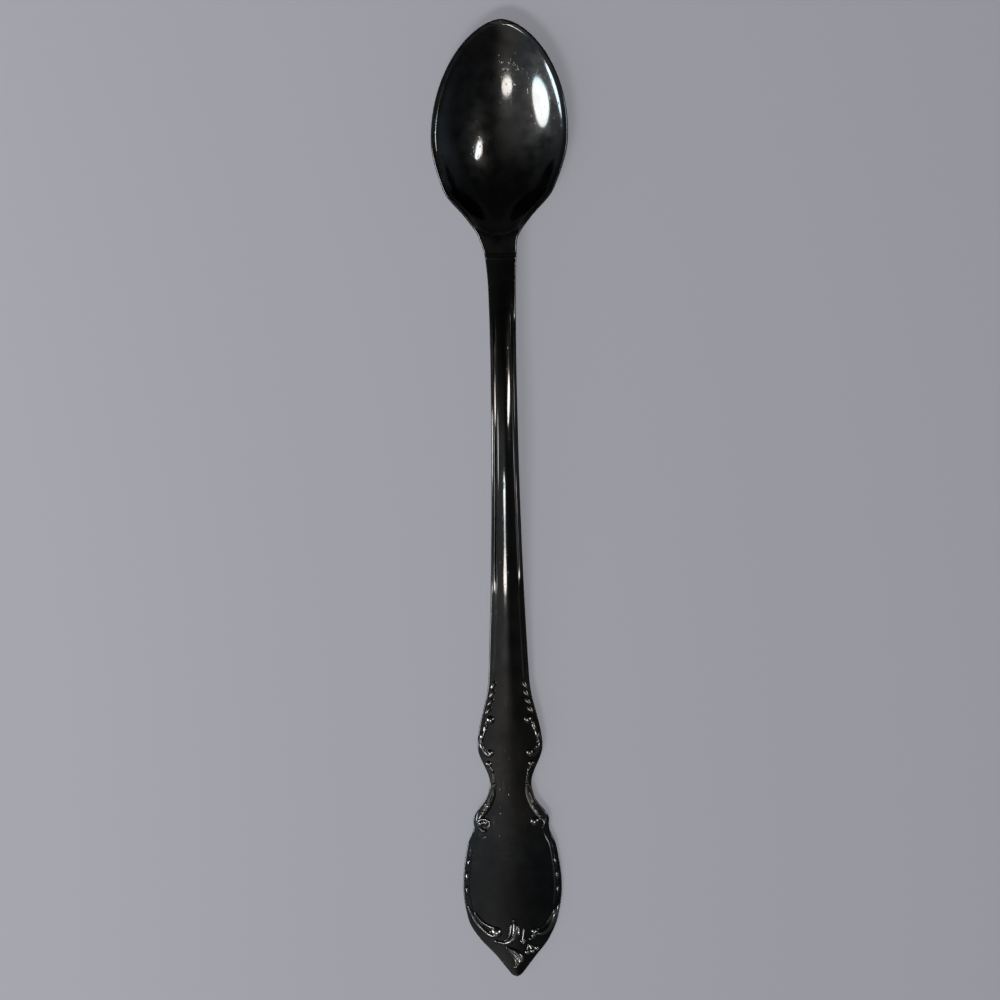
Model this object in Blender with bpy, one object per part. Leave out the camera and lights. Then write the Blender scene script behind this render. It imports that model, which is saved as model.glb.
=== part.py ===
"""Long-handled infant feeding spoon: a bowl, a handle and the raised scroll ornament on the handle's face.

Metres, +Z up. The spoon lies on a table with its bowl open upwards. +Y points at the bowl's tip, +X to
the right of someone who looks down with the bowl away from them, and the origin is on the table, under the
middle of the spoon's length. A station is a distance along the spoon, measured from the bowl's tip.
"""

import math
from itertools import accumulate

import bpy

MM = 0.001

# Lengths along the spoon, each from one landmark of its outline to the next, bowl tip first
BOWL_NOSE = 17.7 * MM
HEEL_SHOULDER_RUN = 8.3 * MM
HEEL_THROAT_RUN = 4.5 * MM
HEEL_FOOT_RUN = 2.8 * MM
NECK_RUN = 2.7 * MM
NECK_TAPER = 6.0 * MM
STEM_TAPER = 10.0 * MM
STEM_FLARE = 48.6 * MM
SHOULDER_RUN = 10.1 * MM
WAIST_RUN = 5.7 * MM
LEAF_RUN = 2.2 * MM
VOLUTE_RUN = 3.4 * MM
NOTCH_RUN = 0.9 * MM
PANEL_SHOULDER_RUN = 3.1 * MM
PANEL_RUN = 6.2 * MM
TIP_SHOULDER_RUN = 5.0 * MM
TIP_FLANK_RUN = 3.0 * MM
TIP_TAPER = 2.8 * MM
POINT_FOOT_RUN = 1.8 * MM
POINT_RUN = 1.2 * MM

# Full widths at those landmarks
BOWL_WIDTH = 20.9 * MM
HEEL_SHOULDER_WIDTH = 16.85 * MM
HEEL_THROAT_WIDTH = 9.55 * MM
HEEL_FOOT_WIDTH = 5.95 * MM
NECK_WIDTH = 4.85 * MM
NECK_TAPER_WIDTH = 4.2 * MM
STEM_WIDTH = 3.95 * MM
HUSK_WIDTH = 6.25 * MM
SHOULDER_WIDTH = 9.9 * MM
WAIST_WIDTH = 6.32 * MM
LEAF_WIDTH = 7.3 * MM
VOLUTE_WIDTH = 11.6 * MM
NOTCH_WIDTH = 11.4 * MM
PANEL_SHOULDER_WIDTH = 13.6 * MM
PANEL_WIDTH = 15.1 * MM
TIP_SHOULDER_WIDTH = 13.6 * MM
TIP_FLANK_WIDTH = 10.5 * MM
TIP_TAPER_WIDTH = 5.7 * MM
POINT_FOOT_WIDTH = 2.9 * MM
POINT_WIDTH = 0.9 * MM

# The bowl is set slightly askew on the handle, and the handle's point leans to the right
NOSE_LEAN = 0.5 * MM
HEEL_LEAN = 0.47 * MM
POINT_LEAN = 0.45 * MM

# Side view: the height of the upper face above the table, and the metal below it
BOWL_DEPTH = 5.8 * MM
BOWL_TIP_LIFT = 0.2 * MM
NECK_RISE = 1.2 * MM
ARCH_RUN = 25.5 * MM
ARCH_HEIGHT = 9.8 * MM
LOWER_STEM_RUN = 28.0 * MM
LOWER_STEM_HEIGHT = 5.0 * MM
SHOULDER_HEIGHT = 3.1 * MM
POINT_LIFT = 0.6 * MM
NECK_THICKNESS = 2.7 * MM
STEM_THICKNESS = 2.4 * MM
HUSK_THICKNESS = 2.1 * MM
PANEL_THICKNESS = 1.8 * MM
POINT_THICKNESS = 1.2 * MM
TABLE_WEAR = 0.1 * MM

# Bowl
BOWL_WALL = 1.2 * MM
RIM_LAND = 0.5 * MM
RIM_ROUND = 0.15 * MM
RIM_EDGE = 0.45 * MM
HOLLOW_SETBACK = 3.2 * MM
NOSE_SHARPNESS = 0.59
HEEL_SQUARENESS = 14.0
BOWL_ROUNDNESS = 2.1

# Handle section: a crowned face between two edge threads, and a rounded back that flattens at the panel
EDGE_ROUND = 0.15 * MM
EDGE_HEIGHT = 0.7 * MM
NECK_CROWN = 0.25 * MM
STEM_CROWN = 0.7 * MM
SHOULDER_CROWN = 0.45 * MM
WAIST_CROWN = 0.2 * MM
PANEL_CROWN = 0.5 * MM
POINT_CROWN = 0.1 * MM
STEM_BACK_ROUNDNESS = 2.2
PANEL_BACK_ROUNDNESS = 6.0
THREAD_WIDTH = 0.55 * MM
THREAD_HEIGHT = 0.16 * MM
GROOVE_WIDTH = 0.28 * MM
GROOVE_DEPTH = 0.12 * MM
THREAD_START = 8.0 * MM
THREAD_FADE = 8.0 * MM
FACE_SHARE = 0.75

# Brazed joints: the film of filler, and the slant of the scarf at the neck
JOINT_FILM = 0.05 * MM
SCARF_SLOPE = 0.9

# Raised ornament
ORNAMENT_SIDE = 0.08 * MM
HUSK_COUNT = 3
HUSK_LENGTH = 5.4 * MM
HUSK_INSET = 0.8 * MM
HUSK_HALF_WIDTH = 0.42 * MM
HUSK_RELIEF = 0.4 * MM
SCROLL_INSET = 0.62 * MM
SCROLL_HALF_WIDTH = 0.3 * MM
SCROLL_RELIEF = 0.5 * MM
CURL_TURN = math.radians(195)
CURL_TAPER = 0.35
EYE_SWELL = 0.3
SHOULDER_SCROLL_BACK = 2.9 * MM
SHOULDER_SCROLL_RUN = 3.2 * MM
SHOULDER_CURL = 2.1 * MM
WAIST_SCROLL_BACK = 2.0 * MM
WAIST_CURL = 2.0 * MM
WAIST_LEAF_SWELL = 0.5
VOLUTE_CURL = 2.7 * MM
BORDER_GAP = 1.4 * MM
BORDER_INSET = 0.6 * MM
BORDER_HALF_WIDTH = 0.26 * MM
BORDER_RELIEF = 0.28 * MM
BORDER_BEADS = 7
CORNER_START = 3.7 * MM
CORNER_END = 6.2 * MM
CORNER_INSET = 0.85 * MM
CORNER_HALF_WIDTH = 0.38 * MM
CORNER_CURL = 3.9 * MM
SPRAY_FOOT = 0.7 * MM
PLUME_LENGTH = 3.6 * MM
PLUME_SWEEP = 2.9 * MM
PLUME_HALF_WIDTH = 0.75 * MM
PLUME_RELIEF = 0.65 * MM
TIP_LEAF_DROP = 1.05 * MM
TIP_LEAF_LENGTH = 2.5 * MM
TIP_LEAF_SWEEP = 1.6 * MM
TIP_LEAF_HALF_WIDTH = 0.5 * MM
SPRIG_LENGTH = 2.4 * MM
SPRIG_SWEEP = 0.6 * MM
SPRIG_OFFSET = 1.3 * MM
SPRIG_HALF_WIDTH = 0.32 * MM
BEAD_COUNT = 3
BEAD_RUN = 2.1 * MM
BEAD_INSET = 1.15 * MM
BEAD_HALF_WIDTH = 0.36 * MM
SIDES = (("left", -1), ("right", 1))

# Facets
NECK_SPOKES = 3
SIDE_SPOKES = 34
HOLLOW_RINGS = 8
UNDER_RINGS = 7
STEM_STEP = 3.0 * MM
ORNAMENT_STEP = 0.75 * MM
STRIP_STEP = 0.4 * MM
STRIP_ARCH = (-1.0, -0.6, 0.0, 0.6, 1.0)

# Dark polished metal
BOWL_COLOUR = (0.021, 0.022, 0.024, 1.0)
HANDLE_COLOUR = (0.024, 0.025, 0.027, 1.0)
ORNAMENT_COLOUR = (0.03, 0.031, 0.032, 1.0)

(
    AT_WIDEST,
    AT_HEEL_SHOULDER,
    AT_HEEL_THROAT,
    AT_HEEL_FOOT,
    AT_NECK,
    AT_NECK_TAPER,
    AT_STEM,
    AT_HUSK,
    AT_SHOULDER,
    AT_WAIST,
    AT_LEAF,
    AT_VOLUTE,
    AT_NOTCH,
    AT_PANEL_SHOULDER,
    AT_PANEL,
    AT_TIP_SHOULDER,
    AT_TIP_FLANK,
    AT_TIP_TAPER,
    AT_POINT_FOOT,
    AT_POINT,
) = accumulate(
    (
        BOWL_NOSE,
        HEEL_SHOULDER_RUN,
        HEEL_THROAT_RUN,
        HEEL_FOOT_RUN,
        NECK_RUN,
        NECK_TAPER,
        STEM_TAPER,
        STEM_FLARE,
        SHOULDER_RUN,
        WAIST_RUN,
        LEAF_RUN,
        VOLUTE_RUN,
        NOTCH_RUN,
        PANEL_SHOULDER_RUN,
        PANEL_RUN,
        TIP_SHOULDER_RUN,
        TIP_FLANK_RUN,
        TIP_TAPER,
        POINT_FOOT_RUN,
        POINT_RUN,
    )
)
AT_TIP = 0.0
AT_HOLLOW_END = AT_NECK - HOLLOW_SETBACK
AT_ARCH = AT_NECK + ARCH_RUN
AT_LOWER_STEM = AT_ARCH + LOWER_STEM_RUN


def ease(share):
    """A smooth step from 0 to 1, level at both ends."""
    share = min(1.0, max(0.0, share))
    return share * share * (3.0 - 2.0 * share)


def end_slope(near, far, near_slope, far_slope):
    """Slope at the end of a curve, from its first two spans, held so that the curve doesn't overshoot."""
    slope = ((2.0 * near + far) * near_slope - near * far_slope) / (near + far)
    steepest = 3.0 * near_slope
    return min(max(slope, min(0.0, steepest)), max(0.0, steepest))


def fair_curve(points):
    """A smooth curve through (station, value) points that never overshoots them."""
    stations = [station for station, _ in points]
    values = [value for _, value in points]
    spans = [b - a for a, b in zip(stations, stations[1:])]
    rises = [(b - a) / span for a, b, span in zip(values, values[1:], spans)]
    slopes = [end_slope(spans[0], spans[1], rises[0], rises[1])]
    for before, after, rise, next_rise in zip(spans, spans[1:], rises, rises[1:]):
        if rise * next_rise <= 0.0:
            slopes.append(0.0)
            continue
        weight = 2.0 * after + before
        next_weight = after + 2.0 * before
        slopes.append((weight + next_weight) / (weight / rise + next_weight / next_rise))
    slopes.append(end_slope(spans[-1], spans[-2], rises[-1], rises[-2]))

    def value_at(station):
        station = min(stations[-1], max(stations[0], station))
        index = max(i for i in range(len(spans)) if stations[i] <= station)
        share = (station - stations[index]) / spans[index]
        blend = ease(share)
        rise_in = share * (1.0 - share) ** 2 * spans[index] * slopes[index]
        rise_out = share**2 * (share - 1.0) * spans[index] * slopes[index + 1]
        return values[index] * (1.0 - blend) + values[index + 1] * blend + rise_in + rise_out

    return value_at


outline_width = fair_curve(
    [
        (AT_WIDEST, BOWL_WIDTH),
        (AT_HEEL_SHOULDER, HEEL_SHOULDER_WIDTH),
        (AT_HEEL_THROAT, HEEL_THROAT_WIDTH),
        (AT_HEEL_FOOT, HEEL_FOOT_WIDTH),
        (AT_NECK, NECK_WIDTH),
        (AT_NECK_TAPER, NECK_TAPER_WIDTH),
        (AT_STEM, STEM_WIDTH),
        (AT_HUSK, HUSK_WIDTH),
        (AT_SHOULDER, SHOULDER_WIDTH),
        (AT_WAIST, WAIST_WIDTH),
        (AT_LEAF, LEAF_WIDTH),
        (AT_VOLUTE, VOLUTE_WIDTH),
        (AT_NOTCH, NOTCH_WIDTH),
        (AT_PANEL_SHOULDER, PANEL_SHOULDER_WIDTH),
        (AT_PANEL, PANEL_WIDTH),
        (AT_TIP_SHOULDER, TIP_SHOULDER_WIDTH),
        (AT_TIP_FLANK, TIP_FLANK_WIDTH),
        (AT_TIP_TAPER, TIP_TAPER_WIDTH),
        (AT_POINT_FOOT, POINT_FOOT_WIDTH),
        (AT_POINT, POINT_WIDTH),
    ]
)
lean = fair_curve(
    [
        (AT_TIP, NOSE_LEAN),
        (AT_WIDEST, 0.0),
        (AT_HEEL_FOOT, -HEEL_LEAN),
        (AT_NECK_TAPER, 0.0),
        (AT_TIP_SHOULDER, 0.0),
        (AT_TIP_TAPER, POINT_LEAN),
        (AT_POINT, POINT_LEAN),
    ]
)
face_line = fair_curve(
    [
        (AT_TIP, BOWL_DEPTH + BOWL_TIP_LIFT),
        (AT_WIDEST, BOWL_DEPTH),
        (AT_NECK, BOWL_DEPTH + NECK_RISE),
        (AT_ARCH, ARCH_HEIGHT),
        (AT_LOWER_STEM, LOWER_STEM_HEIGHT),
        (AT_SHOULDER, SHOULDER_HEIGHT),
        (AT_PANEL, PANEL_THICKNESS - TABLE_WEAR),
        (AT_POINT, POINT_THICKNESS + POINT_LIFT),
    ]
)
thickness = fair_curve(
    [
        (AT_NECK, NECK_THICKNESS),
        (AT_STEM, STEM_THICKNESS),
        (AT_HUSK, HUSK_THICKNESS),
        (AT_PANEL, PANEL_THICKNESS),
        (AT_POINT, POINT_THICKNESS),
    ]
)
crown = fair_curve(
    [
        (AT_WIDEST, 0.0),
        (AT_NECK, NECK_CROWN),
        (AT_STEM, STEM_CROWN),
        (AT_SHOULDER, SHOULDER_CROWN),
        (AT_WAIST, WAIST_CROWN),
        (AT_PANEL, PANEL_CROWN),
        (AT_POINT, POINT_CROWN),
    ]
)
edge_height = fair_curve(
    [
        (AT_TIP, RIM_EDGE),
        (AT_WIDEST, RIM_EDGE),
        (AT_NECK, EDGE_HEIGHT),
        (AT_POINT, EDGE_HEIGHT),
    ]
)
back_roundness = fair_curve(
    [
        (AT_NECK, STEM_BACK_ROUNDNESS),
        (AT_HUSK, STEM_BACK_ROUNDNESS),
        (AT_PANEL, PANEL_BACK_ROUNDNESS),
        (AT_POINT, PANEL_BACK_ROUNDNESS),
    ]
)
thread_share = fair_curve(
    [
        (AT_NECK, 0.0),
        (AT_NECK + THREAD_START, 0.0),
        (AT_NECK + THREAD_START + THREAD_FADE, 1.0),
        (AT_HUSK - HUSK_LENGTH / HUSK_COUNT, 1.0),
        (AT_HUSK, 0.0),
        (AT_POINT, 0.0),
    ]
)


def nose_share(share):
    """Half-width of the bowl's nose as a share of the widest, from the tip at 0 to the widest at 1."""
    share = min(1.0, max(0.0, share))
    return (1.0 - (1.0 - share) ** 2) ** NOSE_SHARPNESS


def half_width(station):
    """Half the outline's width: an egg-shaped bowl that flows into the handle."""
    if station < AT_WIDEST:
        return BOWL_WIDTH / 2 * nose_share(station / BOWL_NOSE)
    return outline_width(station) / 2


def hollow_half_width(station):
    """Half the width of the bowl's hollow, which is rounded off before the neck. Negative outside it."""
    if not RIM_LAND < station < AT_HOLLOW_END:
        return -1.0
    if station < AT_WIDEST:
        return (BOWL_WIDTH / 2 - RIM_LAND) * nose_share((station - RIM_LAND) / (BOWL_NOSE - RIM_LAND))
    share = (station - AT_WIDEST) / (AT_HOLLOW_END - AT_WIDEST)
    return (half_width(station) - RIM_LAND) * math.sqrt(1.0 - share**HEEL_SQUARENESS)


def thread_relief(inset):
    """Height of the edge thread and depth of its groove, at a distance in from the outline."""
    thread = (inset - EDGE_ROUND - THREAD_WIDTH / 2) / (THREAD_WIDTH / 2)
    groove = (inset - EDGE_ROUND - THREAD_WIDTH - GROOVE_WIDTH / 2) / (GROOVE_WIDTH / 2)
    return THREAD_HEIGHT * max(0.0, 1.0 - thread**2) - GROOVE_DEPTH * max(0.0, 1.0 - groove**2)


def face_height(station, x):
    """Height of the handle's upper face."""
    half = half_width(station)
    crowned = face_line(station) - crown(station) * (x / half) ** 2
    return crowned + thread_share(station) * thread_relief(half - abs(x))


def edge_top(station):
    return face_line(station) - crown(station)


def edge_bottom(station):
    return edge_top(station) - edge_height(station)


def back_height(station, share):
    """Height of the back at a share of the half-width. It is worn flat where it meets the table."""
    low = face_line(station) - thickness(station)
    high = edge_bottom(station)
    return max(0.0, low + (high - low) * abs(share) ** back_roundness(station))


def place(station, x, z):
    """Station, side and height as a point of the model."""
    return (x + lean(station), AT_POINT / 2 - station, z)


def at_scarf(section_point, offset):
    """A point of the section, moved along the spoon onto the slanted joint at the neck."""
    station = AT_NECK
    for _ in range(8):
        x, z = section_point(station)
        station = AT_NECK + offset + SCARF_SLOPE * (z - face_line(AT_NECK))
    return station, x, z


def polished_metal(name, colour, roughness):
    material = bpy.data.materials.new(name)
    material.use_nodes = True
    shader = material.node_tree.nodes["Principled BSDF"]
    shader.inputs["Base Color"].default_value = colour
    shader.inputs["Metallic"].default_value = 1.0
    shader.inputs["Roughness"].default_value = roughness
    return material


def add_piece(name, points, faces, material, parent):
    """One named piece with its origin at its lowest corner, carried by the spoon's own frame."""
    origin = [min(point[axis] for point in points) for axis in range(3)]
    local = [[point[axis] - origin[axis] for axis in range(3)] for point in points]
    mesh = bpy.data.meshes.new(name)
    mesh.from_pydata(local, [], faces)
    mesh.validate()
    mesh.shade_smooth()
    mesh.set_sharp_from_angle(angle=math.radians(40))
    mesh.materials.append(material)
    piece = bpy.data.objects.new(name, mesh)
    piece.location = origin
    piece.parent = parent
    bpy.context.scene.collection.objects.link(piece)
    return piece


def ring_faces(first, second, count):
    """Quads between two closed rings of points, given by the index of each ring's first point."""
    faces = []
    for index in range(count):
        following = (index + 1) % count
        faces.append((first + index, first + following, second + following, second + index))
    return faces


def reach(angle, half_width_at):
    """Distance from the bowl's widest place to an outline, along a ray. Angle 0 points down the handle."""
    near, far = 0.0, AT_POINT
    for _ in range(60):
        middle = (near + far) / 2
        station = AT_WIDEST + middle * math.cos(angle)
        if abs(middle * math.sin(angle)) < half_width_at(station):
            near = middle
        else:
            far = middle
    return near


def ray_point(angle, distance):
    return AT_WIDEST + distance * math.cos(angle), distance * math.sin(angle)


def bowl_outline(station):
    return half_width(station) if AT_TIP < station < AT_NECK else -1.0


def neck_spoke(share):
    """Points of the bowl's wall on a ray that ends in the neck's slanted end, at a share of its width."""
    corner = math.atan2(NECK_WIDTH / 2, AT_NECK - AT_WIDEST)
    hollow = ray_point(share * corner, reach(share * corner, hollow_half_width))

    def upper(station):
        x = share * half_width(station)
        return x, face_height(station, x)

    def side(station):
        x, z = upper(station)
        return x, z - RIM_ROUND * share**2

    def lower(station):
        return share * half_width(station), back_height(station, share)

    top = at_scarf(upper, 0.0)
    land = (top[0] - RIM_ROUND, top[1], top[2])
    return hollow, land, at_scarf(side, 0.0), at_scarf(lower, 0.0)


def side_spoke(angle):
    """Points of the bowl's wall on a ray that ends in the rim."""
    hollow = ray_point(angle, reach(angle, hollow_half_width))
    distance = reach(angle, bowl_outline)
    station, x = ray_point(angle, distance)
    land = ray_point(angle, distance - RIM_ROUND)
    top = edge_top(station)
    return (
        hollow,
        (land[0], land[1], edge_top(land[0])),
        (station, x, top - RIM_ROUND),
        (station, x, edge_bottom(station)),
    )


def bowl_spokes():
    """The bowl's rays in order round it, from the middle of the neck."""
    corner = math.atan2(NECK_WIDTH / 2, AT_NECK - AT_WIDEST)
    right_neck = [neck_spoke(step / NECK_SPOKES) for step in range(NECK_SPOKES + 1)]
    left_neck = [neck_spoke(-step / NECK_SPOKES) for step in range(NECK_SPOKES, 0, -1)]
    angles = [corner + (math.pi - corner) * step / SIDE_SPOKES for step in range(1, SIDE_SPOKES + 1)]
    right_side = [side_spoke(angle) for angle in angles]
    left_side = [side_spoke(-angle) for angle in reversed(angles[:-1])]
    return right_neck + right_side + left_side + left_neck


def make_bowl(material, parent):
    """The bowl: a hollow, a flat rim, and an underside with a small flat where it stands on the table."""
    spokes = bowl_spokes()
    count = len(spokes)
    points = [place(AT_WIDEST, 0.0, BOWL_WALL)]
    for ring in range(1, HOLLOW_RINGS + 1):
        share = ring / HOLLOW_RINGS
        for (station, x), _, _, _ in spokes:
            rise = (face_line(station) - BOWL_WALL) * share**BOWL_ROUNDNESS
            points.append(place(AT_WIDEST + share * (station - AT_WIDEST), share * x, BOWL_WALL + rise))
    for level in (1, 2):
        points.extend(place(*spoke[level]) for spoke in spokes)
    highest = max(spoke[3][2] for spoke in spokes)
    rest_share = (TABLE_WEAR / (highest + TABLE_WEAR)) ** (1.0 / BOWL_ROUNDNESS)
    for ring in range(UNDER_RINGS + 1):
        share = 1.0 + (rest_share - 1.0) * ring / UNDER_RINGS
        for _, _, _, (station, x, z) in spokes:
            rise = (z + TABLE_WEAR) * share**BOWL_ROUNDNESS - TABLE_WEAR
            points.append(place(AT_WIDEST + share * (station - AT_WIDEST), share * x, max(0.0, rise)))
    faces = [(0, 1 + index, 1 + (index + 1) % count) for index in range(count)]
    rings = (len(points) - 1) // count
    for ring in range(rings - 1):
        faces.extend(ring_faces(1 + (ring + 1) * count, 1 + ring * count, count))
    faces.append(tuple(reversed(range(1 + (rings - 1) * count, 1 + rings * count))))
    return add_piece("bowl", points, faces, material, parent)


def section_insets(half):
    """Where the upper face's points lie, as distances in from the outline, outermost first."""
    thread_end = EDGE_ROUND + THREAD_WIDTH
    marks = [EDGE_ROUND + THREAD_WIDTH * share for share in (0.0, 0.25, 0.5, 0.75, 1.0)]
    marks += [thread_end + GROOVE_WIDTH * share for share in (0.5, 1.0)]
    limit = min(1.0, FACE_SHARE * half / marks[-1])
    insets = [mark * limit for mark in marks]
    middle = half - insets[-1]
    return insets + [half - middle * share for share in (2 / 3, 1 / 3)]


def section_points():
    """Functions that give each point of the handle's section, in order round it, from a station."""

    def face_point(index, side):
        def point(station):
            half = half_width(station)
            x = side * (half - section_insets(half)[index])
            return x, face_height(station, x)

        return point

    def edge_point(side, drop):
        return lambda station: (side * half_width(station), edge_top(station) - drop(station))

    def back_point(share):
        return lambda station: (share * half_width(station), back_height(station, share))

    inset_count = len(section_insets(STEM_WIDTH / 2))
    middle = [lambda station: (0.0, face_line(station))]
    right_face = [face_point(index, 1) for index in reversed(range(inset_count))]
    left_face = [face_point(index, -1) for index in range(inset_count)]
    right_edge = [edge_point(1, lambda _: EDGE_ROUND), edge_point(1, edge_height)]
    left_edge = [edge_point(-1, edge_height), edge_point(-1, lambda _: EDGE_ROUND)]
    back = [back_point(share) for share in (0.85, 0.6, 0.3, 0.0, -0.3, -0.6, -0.85)]
    return middle + right_face + right_edge + back + left_edge + left_face


def steps_between(start, end, step):
    """Stations after start, evenly spaced and about a step apart, up to end."""
    count = max(1, round((end - start) / step))
    return [start + (end - start) * index / count for index in range(1, count + 1)]


def make_handle(material, parent):
    """The handle: a threaded stem that opens into a waisted, pointed panel, scarfed to the bowl's neck."""
    section = section_points()
    joint = [at_scarf(point, JOINT_FILM) for point in section]
    first = max(station for station, _, _ in joint)
    stations = steps_between(first, AT_HUSK, STEM_STEP) + steps_between(AT_HUSK, AT_POINT, ORNAMENT_STEP)
    points = [place(*corner) for corner in joint]
    for station in stations:
        points.extend(place(station, *point(station)) for point in section)
    count = len(section)
    faces = [tuple(range(count))]
    for ring in range(len(stations)):
        faces.extend(ring_faces((ring + 1) * count, ring * count, count))
    faces.append(tuple(reversed(range(len(stations) * count, (len(stations) + 1) * count))))
    return add_piece("handle", points, faces, material, parent)


def edge_run(side, start, end, inset):
    """A path that follows the outline, a distance in from it, as (station, x) points."""
    stations = [start] + steps_between(start, end, STRIP_STEP)
    return [(station, side * (half_width(station) - inset)) for station in stations]


def curl(path, turn, length):
    """The path with a spiral added to its end, which turns ever more tightly through the angle."""
    heading = math.atan2(path[-1][1] - path[-2][1], path[-1][0] - path[-2][0])
    count = max(6, round(length / STRIP_STEP * 2))
    station, x = path[-1]
    curled = list(path)
    for step in range(1, count + 1):
        direction = heading + turn * ((step - 0.5) / count) ** 2
        station += length / count * math.cos(direction)
        x += length / count * math.sin(direction)
        curled.append((station, x))
    return curled


def arc(start, quarter, lean):
    """A quarter of an ellipse from a point, first sideways by the sweep and then along by the length."""
    length, sweep = quarter
    count = max(6, round((abs(length) + abs(sweep)) / STRIP_STEP))
    angles = [math.pi / 2 * step / count for step in range(count + 1)]
    return [
        (start[0] + length * (1.0 - math.cos(angle)), start[1] + lean * sweep * math.sin(angle))
        for angle in angles
    ]


def shares_along(path):
    """Each point's share of the way along the path, and the path's length."""
    spans = [math.dist(a, b) for a, b in zip(path, path[1:])]
    travelled = [0.0] + list(accumulate(spans))
    return [distance / travelled[-1] for distance in travelled], travelled[-1]


def round_end(distance, radius):
    """How full a strip is near its end, which is rounded in plan."""
    near = min(1.0, distance / radius)
    return max(0.3, math.sqrt(1.0 - (1.0 - near) ** 2))


def applied_strip(name, path, half_widths, reliefs, material, parent):
    """A raised strip with an arched section that lies on the handle's face along a path."""
    points = []
    for index, (station, x) in enumerate(path):
        before = path[max(0, index - 1)]
        after = path[min(len(path) - 1, index + 1)]
        span = math.dist(before, after)
        across = ((after[1] - before[1]) / span, (before[0] - after[0]) / span)

        def on_face(share, rise):
            reached = share * half_widths[index]
            strip_station = station + across[0] * reached
            strip_x = x + across[1] * reached
            return place(strip_station, strip_x, face_height(strip_station, strip_x) + JOINT_FILM + rise)

        points.append(on_face(-1.0, 0.0))
        for share in STRIP_ARCH:
            arched = (reliefs[index] - ORNAMENT_SIDE) * math.sqrt(1.0 - share**2)
            points.append(on_face(share, ORNAMENT_SIDE + arched))
        points.append(on_face(1.0, 0.0))
        points.append(on_face(0.0, 0.0))
    count = len(STRIP_ARCH) + 3
    faces = [tuple(reversed(range(count)))]
    for ring in range(len(path) - 1):
        faces.extend(ring_faces(ring * count, (ring + 1) * count, count))
    faces.append(tuple(range((len(path) - 1) * count, len(path) * count)))
    return add_piece(name, points, faces, material, parent)


def make_husks(label, side, material, parent):
    """A run of overlapping husks that takes the place of the edge thread at the shoulder."""
    path = edge_run(side, AT_HUSK, AT_HUSK + HUSK_LENGTH, HUSK_INSET)
    shares, length = shares_along(path)
    fullness = []
    for share in shares:
        swell = 0.55 + 0.45 * math.sin(math.pi * (share * HUSK_COUNT % 1.0))
        fullness.append(swell * min(round_end(share * length, HUSK_HALF_WIDTH), 1.0))
    widths = [HUSK_HALF_WIDTH * full for full in fullness]
    reliefs = [HUSK_RELIEF * full for full in fullness]
    applied_strip(f"{label}_husks", path, widths, reliefs, material, parent)


def scroll_fullness(distance, curl_length):
    """Fullness of a scroll near an end: round, and where it curls, thinned out before a small eye."""
    full = round_end(distance, SCROLL_HALF_WIDTH)
    if curl_length:
        swell = EYE_SWELL * max(0.0, 1.0 - ((distance - SCROLL_HALF_WIDTH) / SCROLL_HALF_WIDTH) ** 2)
        full *= (1.0 + swell) * (1.0 - CURL_TAPER * ease(1.0 - distance / curl_length))
    return full


def make_scroll(name, path, curls, body_half_width, material, parent):
    """A scroll along a path, with the length of the curl at each end, or 0 for a plain end."""
    shares, length = shares_along(path)
    widths = []
    reliefs = []
    for share in shares:
        full = scroll_fullness(share * length, curls[0]) * scroll_fullness((1.0 - share) * length, curls[1])
        widths.append(body_half_width(share) * full)
        reliefs.append(SCROLL_RELIEF * full)
    applied_strip(name, path, widths, reliefs, material, parent)


def make_shoulder_scroll(label, side, material, parent):
    """A C scroll round the shoulder's bulge, curled inwards at both ends."""
    start = AT_SHOULDER - SHOULDER_SCROLL_BACK
    run = edge_run(side, start, start + SHOULDER_SCROLL_RUN, SCROLL_INSET)
    run = curl(run, -side * CURL_TURN, SHOULDER_CURL)
    run = curl(run[::-1], side * CURL_TURN, SHOULDER_CURL)
    curls = (SHOULDER_CURL, SHOULDER_CURL)
    make_scroll(f"{label}_shoulder_scroll", run, curls, lambda _: SCROLL_HALF_WIDTH, material, parent)


def make_waist_scroll(label, side, material, parent):
    """A long scroll that follows the waist, swells into a leaf and curls into the volute below it."""
    run = edge_run(side, AT_WAIST - WAIST_SCROLL_BACK, AT_VOLUTE, SCROLL_INSET)
    run = curl(run[::-1], side * CURL_TURN, WAIST_CURL)
    run = curl(run[::-1], -side * CURL_TURN, VOLUTE_CURL)

    def leaf(share):
        return SCROLL_HALF_WIDTH * (1.0 + WAIST_LEAF_SWELL * ease(1.0 - abs(share - 0.6) / 0.3))

    make_scroll(f"{label}_waist_scroll", run, (WAIST_CURL, VOLUTE_CURL), leaf, material, parent)


def make_border(label, side, material, parent):
    """A reeded border along the panel's edge."""
    run = edge_run(side, AT_NOTCH + BORDER_GAP, AT_PANEL + CORNER_START - BORDER_GAP, BORDER_INSET)
    shares, length = shares_along(run)
    fullness = []
    for share in shares:
        bead = 0.8 + 0.2 * math.cos(2.0 * math.pi * BORDER_BEADS * share)
        nearer = min(share, 1.0 - share) * length
        fullness.append(bead * round_end(nearer, BORDER_HALF_WIDTH))
    widths = [BORDER_HALF_WIDTH * full for full in fullness]
    reliefs = [BORDER_RELIEF * full for full in fullness]
    applied_strip(f"{label}_panel_border", run, widths, reliefs, material, parent)


def make_corner_scroll(label, side, material, parent):
    """A scroll along the panel's lower edge that curls inwards towards the spray."""
    run = edge_run(side, AT_PANEL + CORNER_START, AT_PANEL + CORNER_END, CORNER_INSET)
    run = curl(run, -side * CURL_TURN, CORNER_CURL)
    curls = (0.0, CORNER_CURL)
    make_scroll(f"{label}_corner_scroll", run, curls, lambda _: CORNER_HALF_WIDTH, material, parent)


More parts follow.
